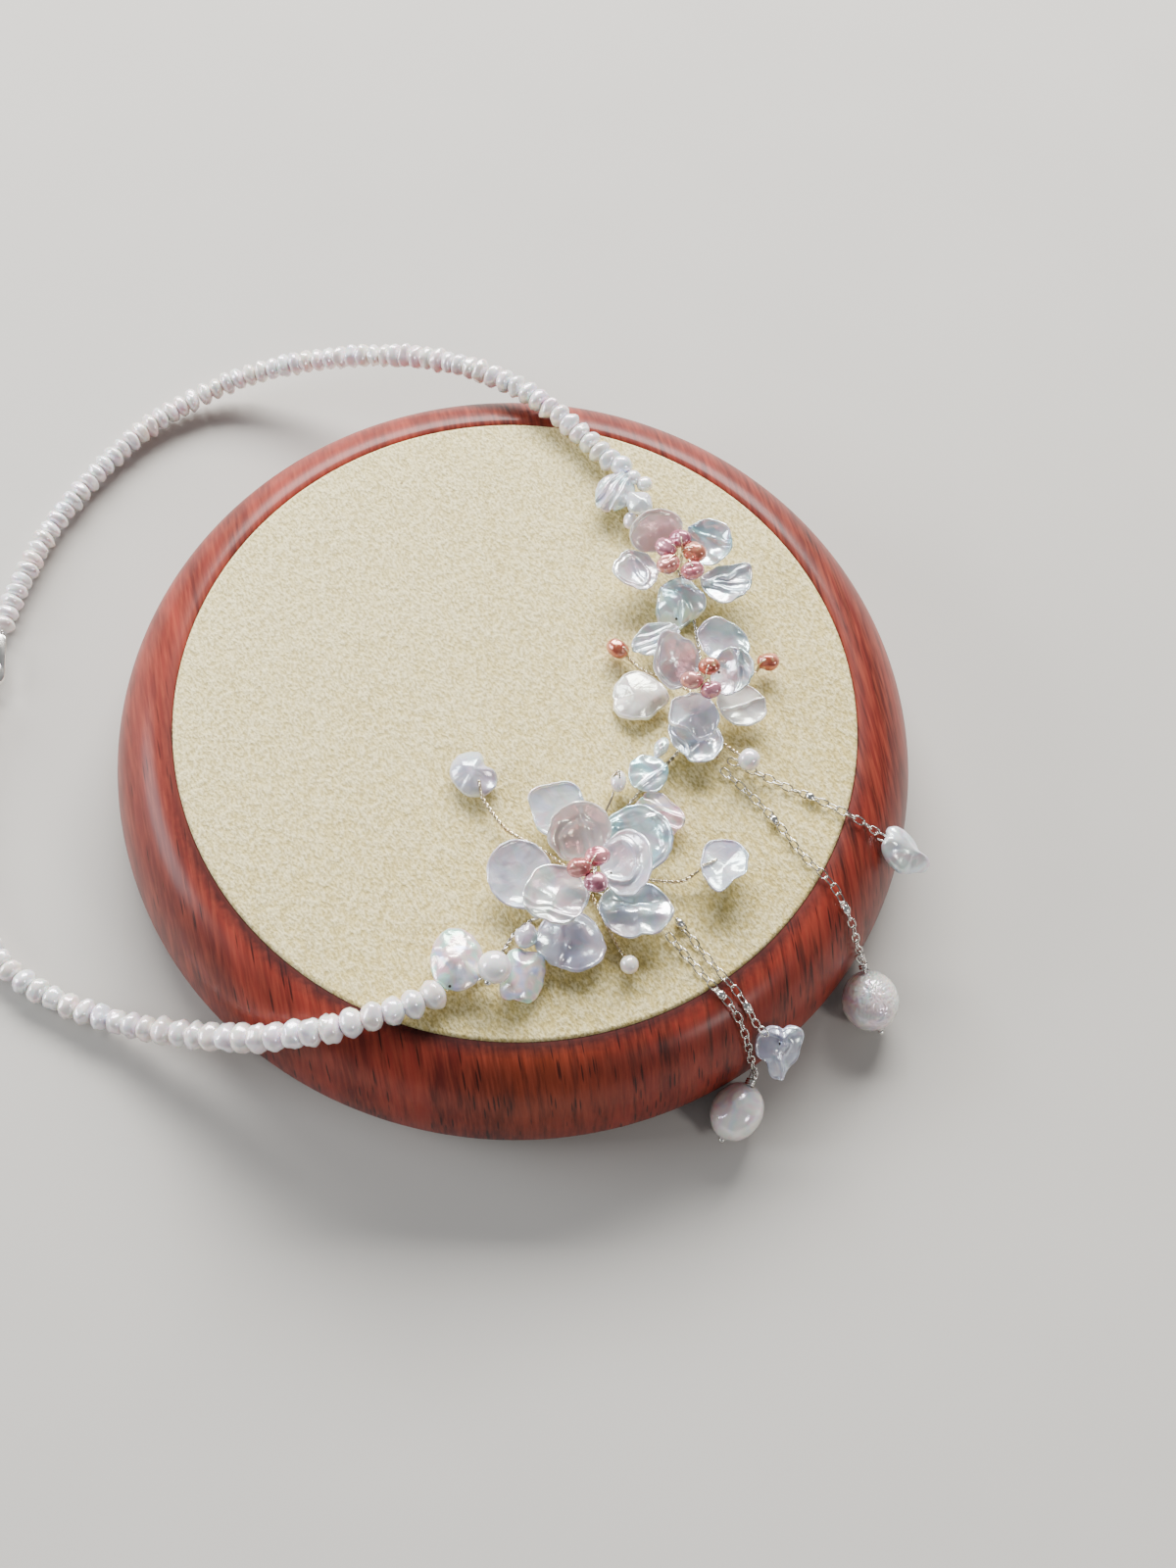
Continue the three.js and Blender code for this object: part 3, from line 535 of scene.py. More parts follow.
def keshi_shape(form, seed):
    """A closed lens in the form's outline, with a thin rolled rim, its marks and its waves."""
    shape = bmesh.new()
    bmesh.ops.create_uvsphere(shape, u_segments=128, v_segments=64, radius=1)
    shift = Vector((seed * 7.31, seed * 3.17, seed * 1.93))
    thin = form.thick < THIN_LIMIT
    for vert in shape.verts:
        x, y, z = vert.co
        out = min(1.0, math.hypot(x, y))
        turn = math.atan2(y, x)
        edge = Vector((math.cos(turn), math.sin(turn), 0))
        reach = reach_at(OUTLINES[form.outline], turn)
        reach *= 1 + 0.05 * noise.noise(edge * 1.6 + shift)
        reach *= 1 + 0.03 * noise.noise(edge * 4.2 + shift)
        flat = Vector((x * reach * form.long / 2, y * reach * form.wide / 2, 0))
        rolled = math.exp(-((out - 0.955) / 0.035) ** 2) if thin else 0.0
        rolled *= max(0.15, 0.65 + noise.noise(edge * 2.3 - shift))
        share = 0.40 + 0.45 * rolled if thin else 1.0
        body = math.copysign(abs(z) ** (0.55 if thin else 0.8), z) * form.thick / 2 * share
        wander = flat / 0.0026 - shift
        drawn_x = x + 0.10 * noise.noise(wander)
        drawn_y = y + 0.10 * noise.noise(wander + Vector((9, 4, 2)))
        broken = max(0.3, 0.95 + 0.8 * noise.noise(wander * 0.8 + Vector((3, 8, 1))))
        bend = form.cup * (out * out - 0.5) + 0.00013 * rolled
        bend += 1.25 * broken * raised_at(drawn_x, drawn_y, form.marks)
        bend += 0.00035 * out * out * noise.noise(edge * 1.7 + shift * 2)
        spot = flat / 0.0050 + shift
        waves = noise.noise(spot) + 0.4 * noise.noise(spot * 2.1)
        creases = 0.35 - abs(noise.noise(spot * 1.2 + shift))
        bend += (0.00012 + 0.00060 * form.crumple) * (waves + 0.7 * creases)
        vert.co = flat + Vector((0, 0, body + bend))
    stand = (
        Matrix.Translation((form.x, form.y, form.z))
        @ Matrix.Rotation(math.radians(form.head), 4, "Z")
        @ Matrix.Rotation(math.radians(-form.lean), 4, "Y")
        @ Matrix.Rotation(math.radians(form.roll), 4, "X")
    )
    bmesh.ops.transform(shape, matrix=stand, verts=shape.verts)
    return shape


def keshi_nacre(name, light, shade, play, mirror):
    """Silvery nacre whose tint drifts over the pearl, with fine lacy wrinkles under its gloss."""
    finish, shader, place = finish_with(name, Roughness=0.23, IOR=1.7, Metallic=mirror,
                                        Subsurface_Weight=0.12, Subsurface_Scale=0.0008,
                                        Coat_Weight=0.6, Coat_Roughness=0.12, Coat_IOR=1.5,
                                        Thin_Film_Thickness=400.0, Thin_Film_IOR=1.45)
    body = lay_over(light, shade, clouds(place, 170.0, Distortion=0.5), 0.42, 0.62)
    lace = clouds(place, 480.0, Distortion=1.2)
    folds = relief(lace, 0.50, 0.00022)
    plug(shader, Base_Color=with_overtones(place, body, play),
         Normal=relief(clouds(place, 1500.0, 3.0), 0.12, 0.00003, folds),
         Coat_Normal=relief(lace, 0.34, 0.00018))
    return finish


KESHI_NACRES = {name: keshi_nacre(f"{name}_keshi_nacre", *tints) for name, tints in {
    "silver": ("f6fafd", "cddae6", 0.40, 0.62),
    "aqua": ("e4f8fc", "a9d9e7", 0.40, 0.60),
    "white": ("fffdfb", "e4e6ea", 0.40, 0.48),
    "rosy": ("fdf7f2", "ecdfd8", 0.12, 0.26),
    "lilac": ("f7f8fd", "d9dbea", 0.25, 0.40),
    "slate": ("dfdfeb", "b3b1c7", 0.25, 0.32),
    "rainbow": ("fbe9e0", "edc4cc", 0.95, 0.34),
    "pearl": ("fbfdff", "dde5ec", 0.50, 0.40),
}.items()}

SMALL_FLOWER = (
    Keshi(0.0208, 0.0363, 0.0304, 0.0085, 0.0100, 0.0013, 0.0008, 114, 50, "round", "rosy", 0.15,
          (Ring(-0.12, 0.05, 0.92, 0.0002, 0.05),)),
    Keshi(0.0307, 0.0356, 0.0290, 0.0090, 0.0088, 0.0014, 0.0015, 42, 26, "round", "aqua", 0.8,
          (Welt(-86, 0.15, 0.0004, 0.14), Welt(-60, -0.25, 0.0003, 0.10),
           Fold(94, 0.45, -0.0010, 0.08))),
    Keshi(0.0346, 0.0285, 0.0280, 0.0094, 0.0088, 0.0014, 0.0012, -4, 12, "scoop", "silver", 0.4,
          (Welt(28, -0.28, 0.0004, 0.10), Welt(8, 0.02, 0.0003, 0.08),
           Welt(-12, 0.32, 0.0004, 0.10))),
    Keshi(0.0266, 0.0242, 0.0284, 0.0096, 0.0096, 0.0018, -0.0014, -92, 6, "kite", "aqua", 0.6,
          (Fold(86, -0.42, -0.0014, 0.06), Fold(15, 0.35, -0.0014, 0.06),
           Fold(150, 0.50, -0.0010, 0.08), Welt(60, 0.10, 0.0004, 0.12))),
    Keshi(0.0180, 0.0285, 0.0283, 0.0096, 0.0086, 0.0013, 0.0013, 202, 16, "drop", "white", 0.45,
          (Ring(0.12, 0, 0.68, 0.0003, 0.07), Welt(100, -0.1, 0.0002, 0.10))),
)
MIDDLE_FLOWER = (
    Keshi(0.0229, 0.0156, 0.0272, 0.0102, 0.0066, 0.0013, 0.0010, 216, 6, "drop", "silver", 0.5,
          (Welt(5, -0.32, 0.0003, 0.09), Welt(0, 0.08, 0.0003, 0.09),
           Welt(-8, 0.45, 0.0003, 0.09))),
    Keshi(0.0347, 0.0164, 0.0276, 0.0086, 0.0098, 0.0013, 0.0012, 65, 12, "fan", "silver", 0.3,
          (Fold(16, 0, -0.0007, 0.04), Fold(71, 0.50, -0.0014, 0.05))),
    Keshi(0.0390, 0.0048, 0.0268, 0.0092, 0.0076, 0.0013, 0.0010, -18, 5, "round", "rosy", 0.25,
          (Fold(46, 0.02, -0.0010, 0.04), Welt(46, 0, 0.0003, 0.05))),
    Keshi(0.0213, 0.0048, 0.0269, 0.0106, 0.0089, 0.0014, -0.0008, 188, 5, "heart", "rosy", 0.10,
          (Fold(102, 0.29, -0.0026, 0.03), Fold(215, 0.5, -0.0014, 0.05))),
    Keshi(0.0314, -0.0033, 0.0269, 0.0096, 0.0105, 0.0014, 0.0010, -82, 5, "sail", "silver", 0.5,
          (Welt(26, 0.48, 0.0005, 0.08), Welt(20, 0.74, 0.0003, 0.06),
           Ring(0.15, 0.45, 0, 0.0005, 0.20), Welt(-35, -0.2, 0.0003, 0.08))),
    Keshi(0.0264, 0.0098, 0.0314, 0.0110, 0.0090, 0.0013, 0.0014, 125, 44, "point", "lilac", 0.2,
          (Ring(0, -0.14, 0.86, 0.0002, 0.05), Fold(185, 0.55, -0.0008, 0.05))),
    Keshi(0.0368, 0.0090, 0.0310, 0.0088, 0.0086, 0.0013, 0.0015, 25, 36, "round", "silver", 0.5,
          (Welt(60, 0.32, 0.0003, 0.08), Welt(98, 0.55, 0.0003, 0.08))),
    Keshi(0.0308, 0.0011, 0.0302, 0.0078, 0.0088, 0.0016, 0.0009, -98, 14, "heart", "lilac", 0.15,
          (Fold(63, 0.31, -0.0024, 0.035), Fold(135, 0.14, -0.0024, 0.035))),
)
LARGE_FLOWER = (
    Keshi(0.0092, -0.0192, 0.0276, 0.0097, 0.0099, 0.0013, 0.0010, 112, 8, "block", "pearl", 0.35,
          (Fold(20, 0.38, -0.0006, 0.04),)),
    Keshi(0.0264, -0.0175, 0.0261, 0.0070, 0.0090, 0.0012, 0.0004, 55, 0, "block", "rainbow", 0.3,
          (Welt(106, 0.28, 0.0004, 0.12), Welt(106, -0.32, 0.0004, 0.10))),
    Keshi(0.0232, -0.0235, 0.0286, 0.0118, 0.0120, 0.0013, 0.0012, 48, 12, "round", "aqua", 0.5,
          (Ring(0, 0, 0.76, 0.0003, 0.12), Welt(150, 0.55, 0.0003, 0.08))),
    Keshi(0.0243, -0.0363, 0.0272, 0.0124, 0.0104, 0.0016, 0.0012, -30, 6, "lobe", "silver", 0.5,
          (Welt(39, -0.36, -0.0006, 0.18), Welt(36, 0.05, 0.0006, 0.20),
           Ring(0.3, 0.75, 0, 0.0007, 0.25))),
    Keshi(0.0140, -0.0418, 0.0269, 0.0116, 0.0118, 0.0015, -0.0008, -110, 5, "fan", "slate", 0.5,
          (Fold(54, 0.05, -0.0009, 0.05), Welt(20, 0.35, 0.0003, 0.10),
           Ring(0.70, 0.05, 0, -0.0006, 0.16), Ring(0.35, 0, 0, 0.0005, 0.12))),
    Keshi(0.0039, -0.0317, 0.0273, 0.0114, 0.0122, 0.0014, 0.0014, 172, 8, "round", "slate", 0.3,
          (Fold(248, -0.22, -0.0007, 0.03), Fold(200, 0.25, -0.0007, 0.03))),
    Keshi(0.0131, -0.0246, 0.0320, 0.0108, 0.0110, 0.0013, 0.0016, 110, 38, "round", "rosy", 0.35,
          (Ring(-0.25, 0.05, 0.62, 0.0004, 0.10), Welt(12, 0.15, 0.0004, 0.12))),
    Keshi(0.0220, -0.0296, 0.0322, 0.0100, 0.0118, 0.0013, 0.0015, 15, 34, "round", "lilac", 0.40,
          (Ring(-0.25, 0.12, 0.62, 0.0005, 0.10),)),
    Keshi(0.0104, -0.0364, 0.0313, 0.0126, 0.0110, 0.0014, 0.0012, 212, 14, "drop", "white", 0.85,
          (Welt(144, 0.62, 0.0005, 0.08), Welt(138, 0.42, 0.0003, 0.07),
           Fold(144, 0.50, -0.0010, 0.06))),
)


def set_keshi(name, form, seed, node_name):
    """Sets down one keshi in its own nacre."""
    set_down(name, keshi_shape(form, seed), KESHI_NACRES[form.nacre], "silver_pearl", node_name)


for flower, seed, petals in (("small", 10, SMALL_FLOWER), ("middle", 30, MIDDLE_FLOWER),
                             ("large", 60, LARGE_FLOWER)):
    for number, form in enumerate(petals, 1):
        set_keshi(f"{flower}_flower_keshi_{number}", form, seed + number,
                  f"{flower}_petal_{number}")

# ---- Loose keshi and baroque pearls between the flowers and on the sprigs ----
# Thicker nuggets of the same nacre, threaded where the strings end and between the flowers,
# and two flat ones that stand off on twisted sprigs.
LOOSE_KESHI = {
    "ridged_leaf_keshi": Keshi(
        0.0128, 0.0456, 0.0270, 0.0098, 0.0074, 0.0022, -0.0004, -118, 4, "drop", "pearl", 0.7,
        (Welt(8, -0.38, 0.0006, 0.09), Welt(0, 0.02, 0.0006, 0.09), Welt(-8, 0.42, 0.0006, 0.09))),
    "wedge_pearl": Keshi(
        0.0173, 0.0429, 0.0289, 0.0060, 0.0048, 0.0024, 0, -40, 8, "drop", "lilac", 0.5,
        (Fold(0, 0, -0.0012, 0.05), Fold(190, 0.15, -0.0012, 0.05))),
    "lower_baroque_pearl": Keshi(
        0.0257, -0.0051, 0.0271, 0.0045, 0.0025, 0.0024, 0, -110, 0, "drop", "pearl", 0.6,
        (Ring(0, 0, 0.05, -0.0004, 0.12),)),
    "wrinkled_keshi": Keshi(
        0.0238, -0.0105, 0.0270, 0.0070, 0.0072, 0.0019, 0.0005, 10, 3, "round", "aqua", 1.3,
        (Welt(35, 0.3, 0.0004, 0.10),)),
    "end_round_keshi": Keshi(
        -0.0047, -0.0480, 0.0273, 0.0112, 0.0088, 0.0022, -0.0006, 100, 0, "round", "rainbow", 0.6,
        (Ring(-0.22, 0.10, 0, 0.0011, 0.42), Fold(20, 0.55, -0.0010, 0.06))),
    "end_pink_keshi": Keshi(
        0.0063, -0.0493, 0.0269, 0.0096, 0.0072, 0.0022, -0.0004, 84, 4, "block", "rainbow", 0.4,
        (Fold(-10, 0.35, -0.0016, 0.05), Fold(80, 0.32, -0.0014, 0.05),
         Fold(200, 0.40, -0.0014, 0.05)), -6),
    "end_baroque_pearl": Keshi(
        0.0063, -0.0427, 0.0272, 0.0046, 0.0040, 0.0026, 0, 70, 0, "drop", "pearl", 0.6, ()),
    "left_sprig_keshi": Keshi(
        -0.0062, -0.0137, 0.0272, 0.0084, 0.0084, 0.0020, -0.0004, 45, 6, "notch", "slate", 0.2,
        (Fold(20, 0.1, -0.0018, 0.03), Fold(140, 0.15, -0.0012, 0.03),
         Fold(-100, 0.2, -0.0014, 0.03))),
    "right_sprig_keshi": Keshi(
        0.0380, -0.0262, 0.0272, 0.0102, 0.0086, 0.0016, 0.0006, -97, 4, "shield", "slate", 0.05,
        (Fold(148, 0, 0.0014, 0.05), Fold(50, 0.45, 0.0010, 0.05))),
}
for number, (name, form) in enumerate(LOOSE_KESHI.items()):
    set_keshi(f"{name}_nacre", form, 90 + number, name)

# ---- Drill holes ----
# Each flat keshi is drilled through with a hole half a millimetre wide. Where the wire leaves
# room the hole shows as a dark dot.
HOLE_RADIUS = 0.00028
PLUG_FLATNESS = 0.4
PLUG_SINK = 0.000036  # how deep the middle of the flat dark plug lies in the nacre
DRILLED = {
    "left_sprig_keshi_nacre": (-0.0049, -0.0155),
    "right_sprig_keshi_nacre": (0.0368, -0.0251),
    "end_round_keshi_nacre": (-0.0052, -0.0529),
    "small_flower_keshi_4": (0.0262, 0.0209),
    "middle_flower_keshi_7": (0.0344, 0.0094),
    "large_flower_keshi_8": (0.0192, -0.0310),
}

hole_shadow, shader, place = finish_with("shadow_in_drill_hole", Roughness=0.7)
plug(shader, Base_Color=blend_colours(clouds(place, 3000.0), "1c1714", "3a302a"))


def surface_under(name, x, y):
    """The place on top of a finished piece and the way that it faces there."""
    bpy.context.view_layer.update()
    _, place, facing, _ = bpy.data.objects[name].ray_cast((x, y, 0.1), (0, 0, -1))
    return place, facing


def add_hole(shape, name, x, y):
    """A dark plug that closes a drill hole flush with the nacre."""
    place, facing = surface_under(name, x, y)
    made = bmesh.ops.create_uvsphere(shape, u_segments=16, v_segments=8,
                                     radius=HOLE_RADIUS)["verts"]
    bmesh.ops.scale(shape, verts=made, vec=(1, 1, PLUG_FLATNESS))
    lie = stand_along(place - facing * PLUG_SINK, facing)
    bmesh.ops.transform(shape, matrix=lie, verts=made)


shape = bmesh.new()
for name, (x, y) in DRILLED.items():
    add_hole(shape, name, x, y)
set_down("drill_holes", shape, hole_shadow, "silver_pearl")

# ---- Round and seed pearls ----
# One round pearl where the near string ends, one small pearl that closes the far string, two
# seed pearls beside it and four on the frame's short wires. All are drilled and white.
SeedPearl = namedtuple("SeedPearl", "x y z wide deep high")
SEED_PEARLS = {  # each piece's own seed, the node that it stands for and its pearls
    "round_pearl_at_end": (1, "end_round_pearl",
                           SeedPearl(0.0018, -0.0495, 0.0298, 0.0056, 0.0056, 0.0055)),
    "last_far_pearl": (4, "far_string_1",
                       SeedPearl(0.0134, 0.0514, 0.0267, 0.0042, 0.0038, 0.0042)),
    "seeds_at_far_string": (2, "seed_pearls",
                            SeedPearl(0.0158, 0.0490, 0.0269, 0.0030, 0.0030, 0.0027),
                            SeedPearl(0.0180, 0.0479, 0.0269, 0.0030, 0.0030, 0.0026)),
    "seeds_on_wires": (3, "frame_wire",
                       SeedPearl(0.0189, -0.0122, 0.0265, 0.0028, 0.0040, 0.0026),
                       SeedPearl(0.0239, -0.0452, 0.0262, 0.0032, 0.0032, 0.0032),
                       SeedPearl(0.0410, -0.0061, 0.0281, 0.0039, 0.0039, 0.0039),
                       SeedPearl(0.0161, 0.0403, 0.0261, 0.0026, 0.0034, 0.0026)),
}


def seed_shape(pearls, seed):
    """Round pearls, each a little uneven, as one mesh with a tint for each pearl."""
    dice = random.Random(seed)
    shape = bmesh.new()
    tint_layer = shape.verts.layers.float.new("tint")
    for pearl in pearls:
        made = bmesh.ops.create_uvsphere(shape, u_segments=32, v_segments=20, radius=0.5)["verts"]
        shift = any_shift(dice, 9)
        tint = dice.random()
        for vert in made:
            swell = 1 + 0.05 * noise.noise(vert.co * 3 + shift)
            vert.co = (vert.co.x * swell * pearl.wide, vert.co.y * swell * pearl.deep,
                       vert.co.z * swell * pearl.high)
            vert[tint_layer] = tint
        bmesh.ops.translate(shape, verts=made, vec=(pearl.x, pearl.y, pearl.z))
    return shape


for name, (seed, node_name, *pearls) in SEED_PEARLS.items():
    set_down(name, seed_shape(pearls, seed), white_pearl, "white_pearl", node_name)

# ---- Frame wire and sprigs ----
# Fine wire in twisted pairs: a silver-plated run under the three flowers from string to
# string, and short champagne-coloured sprigs that carry the loose pearls and the chains.
FRAME_WIRE_DIAMETER = 0.0008
SPRIG_WIRE_DIAMETER = 0.00078
FRAME_TWIST = 0.0024  # how far along the wire one turn of its strands takes
SPRIG_TWIST = 0.0019
LOW = PAD_TOP + GAP + FRAME_WIRE_DIAMETER / 2  # the wire's middle where it lies on the pad
FRAME_ROUTE = (
    (0.0128, 0.0511, 0.0265), (0.0144, 0.0490, 0.0250), (0.0172, 0.0448, LOW),
    (0.0204, 0.0404, LOW), (0.0259, 0.0316, LOW), (0.0304, 0.0180, LOW), (0.0317, 0.0060, LOW),
    (0.0296, -0.0030, LOW), (0.0234, -0.0120, LOW), (0.0180, -0.0220, LOW),
    (0.0156, -0.0316, LOW), (0.0116, -0.0364, LOW), (0.0074, -0.0384, LOW),
    (0.0046, -0.0410, LOW), (0.0024, -0.0454, LOW), (0.0004, -0.0490, LOW),
    (-0.0032, -0.0518, 0.0248), (-0.0056, -0.0531, 0.0262),
)
SPRIG_ROUTES = {
    "to_left_keshi": ((0.0156, -0.0316, LOW), (0.0083, -0.0264, 0.0248),
                      (0.0011, -0.0234, 0.0256), (-0.0012, -0.0214, 0.0259),
                      (-0.0042, -0.0179, 0.0262)),
    "to_right_keshi": ((0.0156, -0.0316, LOW), (0.0240, -0.0293, 0.0248),
                       (0.0312, -0.0292, 0.0259), (0.0332, -0.0280, 0.0265)),
    "to_teardrop": ((0.0156, -0.0316, LOW), (0.0210, -0.0406, 0.0248),
                    (0.0237, -0.0448, 0.0260)),
    "to_round_pearl": ((0.0310, 0.0024, LOW), (0.0369, -0.0026, 0.0256),
                       (0.0409, -0.0060, 0.0280)),
    "to_upper_chains": ((0.0314, 0.0036, LOW), (0.0336, -0.0014, LOW),
                        (0.0359, -0.0048, 0.0248)),
    "to_lower_chains": ((0.0156, -0.0316, LOW), (0.0240, -0.0356, LOW),
                        (0.0288, -0.0369, 0.0248)),
    "to_far_seed": ((0.0186, 0.0430, LOW), (0.0164, 0.0406, 0.0256)),
}


def metal(name, tint, dull, roughness):
    """Fine drawn wire: bright metal with faint rubbed and tarnished stretches."""
    finish, shader, place = finish_with(name, Metallic=1.0, Roughness=roughness)
    wear = clouds(place, 520.0, 3.0)
    plug(shader, Base_Color=lay_over(tint, dull, wear, 0.45, 0.68),
         Roughness=between(wear, 0.40, 0.70, roughness * 0.8, roughness * 1.5),
         Normal=relief(wear, 0.15, 0.00003))
    return finish


silver_wire = metal("silver_wire", "efede8", "aeaaa2", 0.18)
champagne_wire = metal("champagne_wire", "efe4cc", "c2ae88", 0.20)


def twisted(points, width, twist, strands=2):
    """The runs of wires twisted round each other along a route."""
    run = Run(points)
    steps = max(8, round(run.length / twist * 12))
    reach = width / 4
    side = run.at(0)[1].orthogonal().normalized()
    runs = [[] for _ in range(strands)]
    for step in range(steps + 1):
        distance = run.length * step / steps
        middle, along = run.at(distance)
        side = (side - along * side.dot(along)).normalized()
        for number, strand in enumerate(runs):
            turn = 2 * math.pi * (distance / twist + number / strands)
            strand.append(middle + (Matrix.Rotation(turn, 3, along) @ side) * reach)
    return runs


def lay_wire(name, runs, thickness, finish, slot, *nodes):
    """Round wires along their runs, closed at both ends, as one piece."""
    curve = bpy.data.curves.new(name, "CURVE")
    curve.dimensions = "3D"
    curve.bevel_depth = thickness / 2
    curve.bevel_resolution = 1
    curve.use_fill_caps = True
    curve.materials.append(finish)
    for run in runs:
        spline = curve.splines.new("POLY")
        spline.points.add(len(run) - 1)
        for point, place in zip(spline.points, run):
            point.co = (*place, 1)
    piece = bpy.data.objects.new(name, curve)
    bpy.context.collection.objects.link(piece)
    fixed(piece, nodes)


def over_keshi(name, sprig, steps=8):
    """A wire's run from its sprig over a keshi's edge and down into the drill hole."""
    start = Vector(SPRIG_ROUTES[sprig][-1])
    foot = surface_under(name, *DRILLED[name])[0]
    run = [start]
    for step in range(1, steps):
        place = start.lerp(foot, step / steps)
        hit, top, _, _ = bpy.data.objects[name].ray_cast((place.x, place.y, 0.1), (0, 0, -1))
        clear = 0.0004 * math.sin(math.pi * step / steps)
        place.z = max(place.z, top.z) + clear if hit else place.z + clear
        run.append(place)
    return smooth_route([*run, foot + Vector((0, 0, 0.0002)), foot - Vector((0, 0, 0.0005))])


frame_strands = twisted(FRAME_ROUTE, FRAME_WIRE_DIAMETER, FRAME_TWIST)
lay_wire("twisted_frame_wire", frame_strands, FRAME_WIRE_DIAMETER / 2, silver_wire, "silver",
         "frame_wire")
sprig_strands = [strand for route in SPRIG_ROUTES.values()
                 for strand in twisted(route, SPRIG_WIRE_DIAMETER, SPRIG_TWIST)]
lay_wire("twisted_sprigs", sprig_strands, SPRIG_WIRE_DIAMETER / 2, champagne_wire, "silver",
         "frame_wire")
hook = smooth_route(((0.0179, -0.0222, LOW), (0.0173, -0.0178, 0.0250), (0.0182, -0.0144, 0.0256),
                     (0.0180, -0.0118, 0.0274), (0.0187, -0.0110, 0.0281), (0.0190, -0.0122, 0.0277)))
lay_wire("wires_into_keshi",
         [hook, over_keshi("left_sprig_keshi_nacre", "to_left_keshi"),
          over_keshi("right_sprig_keshi_nacre", "to_right_keshi")],
         SPRIG_WIRE_DIAMETER * 0.6, champagne_wire, "silver", "frame_wire")

# ---- Stamens ----
# Small dyed rice pearls in rose, copper, mauve and pink over the middle of each flower, each
# on a loop of champagne wire whose ends are twisted into one stalk down to the frame.
Stamen = namedtuple("Stamen", "x y z wide tint")
STALK_DIAMETER = 0.0012
STALK_TWIST = 0.0022
STAMEN_WIRE_DIAMETER = 0.0003
SMALL_STAMENS = (
    Stamen(0.0229, 0.0322, 0.0316, 0.0038, "mauve"), Stamen(0.0253, 0.0343, 0.0316, 0.0038, "mauve"),
    Stamen(0.0281, 0.0318, 0.0318, 0.0040, "copper"), Stamen(0.0236, 0.0289, 0.0316, 0.0038, "rose"),
    Stamen(0.0280, 0.0282, 0.0314, 0.0038, "pink"),
)
MIDDLE_STAMENS = (  # the last two stand off to the sides on sprigs of their own
    Stamen(0.0324, 0.0084, 0.0334, 0.0034, "copper"), Stamen(0.0296, 0.0054, 0.0334, 0.0036, "rose"),
    Stamen(0.0331, 0.0040, 0.0332, 0.0034, "mauve"), Stamen(0.0163, 0.0135, 0.0266, 0.0038, "copper"),
    Stamen(0.0431, 0.0140, 0.0270, 0.0036, "copper"),
)
SIDE_SPRIGS = (
    ((0.0314, 0.0062, 0.0259), (0.0266, 0.0086, 0.0254), (0.0212, 0.0104, 0.0252),
     (0.0184, 0.0122, 0.0257), (0.0163, 0.0135, 0.0266)),
    ((0.0320, 0.0062, 0.0259), (0.0370, 0.0096, 0.0254), (0.0402, 0.0116, 0.0256),
     (0.0431, 0.0140, 0.0270)),
)
LARGE_STAMENS = (
    Stamen(0.0166, -0.0298, 0.0344, 0.0038, "pink"), Stamen(0.0138, -0.0322, 0.0344, 0.0038, "rose"),
    Stamen(0.0168, -0.0344, 0.0342, 0.0038, "mauve"),
)


def dyed_nacre(name, light, deep, glint):
    """Dyed pearl with a metallic lustre, in darker clouds and paler glints."""
    finish, shader, place = finish_with(name, Roughness=0.22, IOR=1.6, Metallic=0.45,
                                        Coat_Weight=1.0, Coat_Roughness=0.06, Coat_IOR=1.6,
                                        Thin_Film_Thickness=340.0, Thin_Film_IOR=1.45)
    drift = clouds(place, 420.0)
    body = lay_over(light, deep, drift, 0.40, 0.62)
    plug(shader, Base_Color=lay_over(body, glint, clouds(place, 900.0), 0.56, 0.72, 0.6),
         Normal=relief(drift, 0.25, 0.00015))
    return finish


DYED_TINTS = {name: dyed_nacre(f"{name}_stamen_nacre", *tints) for name, tints in {
    "rose": ("df978f", "bb6560", "f2c4b0"),
    "copper": ("d98b71", "b05740", "f1c795"),
    "mauve": ("d28f9d", "a55b6e", "ecb9c3"),
    "pink": ("e69da2", "c26674", "f4c9c7"),
}.items()}


def stamen_shape(stamen, seed):
    """A rice pearl creased along its length, with a shallow ring groove round it."""
    dice = random.Random(seed)
    shape = bmesh.new()
    bmesh.ops.create_uvsphere(shape, u_segments=44, v_segments=28, radius=0.5)
    groove = dice.uniform(-0.16, 0.16)
    crease = dice.uniform(0.5, 2.6)
    for vert in shape.verts:
        swell = 0.93 - 0.05 * math.exp(-((vert.co.z - groove) / 0.06) ** 2)
        swell += 0.10 * noise.noise(vert.co * 3 + Vector((seed, 0, 0)))
        aside = (math.atan2(vert.co.y, vert.co.x) - crease + math.pi) % (2 * math.pi) - math.pi
        swell -= 0.22 * math.exp(-((aside / 0.35) ** 2)) * (1 - abs(vert.co.z) * 1.4)
        vert.co = (vert.co.x * swell, vert.co.y * swell, vert.co.z * 1.16)
    lie = (
        Matrix.Translation((stamen.x, stamen.y, stamen.z))
        @ Matrix.Rotation(math.radians(dice.uniform(50, 130)), 4, "Z")
        @ Matrix.Rotation(math.radians(dice.uniform(60, 85)), 4, "X")
        @ Matrix.Scale(stamen.wide, 4)
    )
    bmesh.ops.transform(shape, matrix=lie, verts=shape.verts)
    return shape


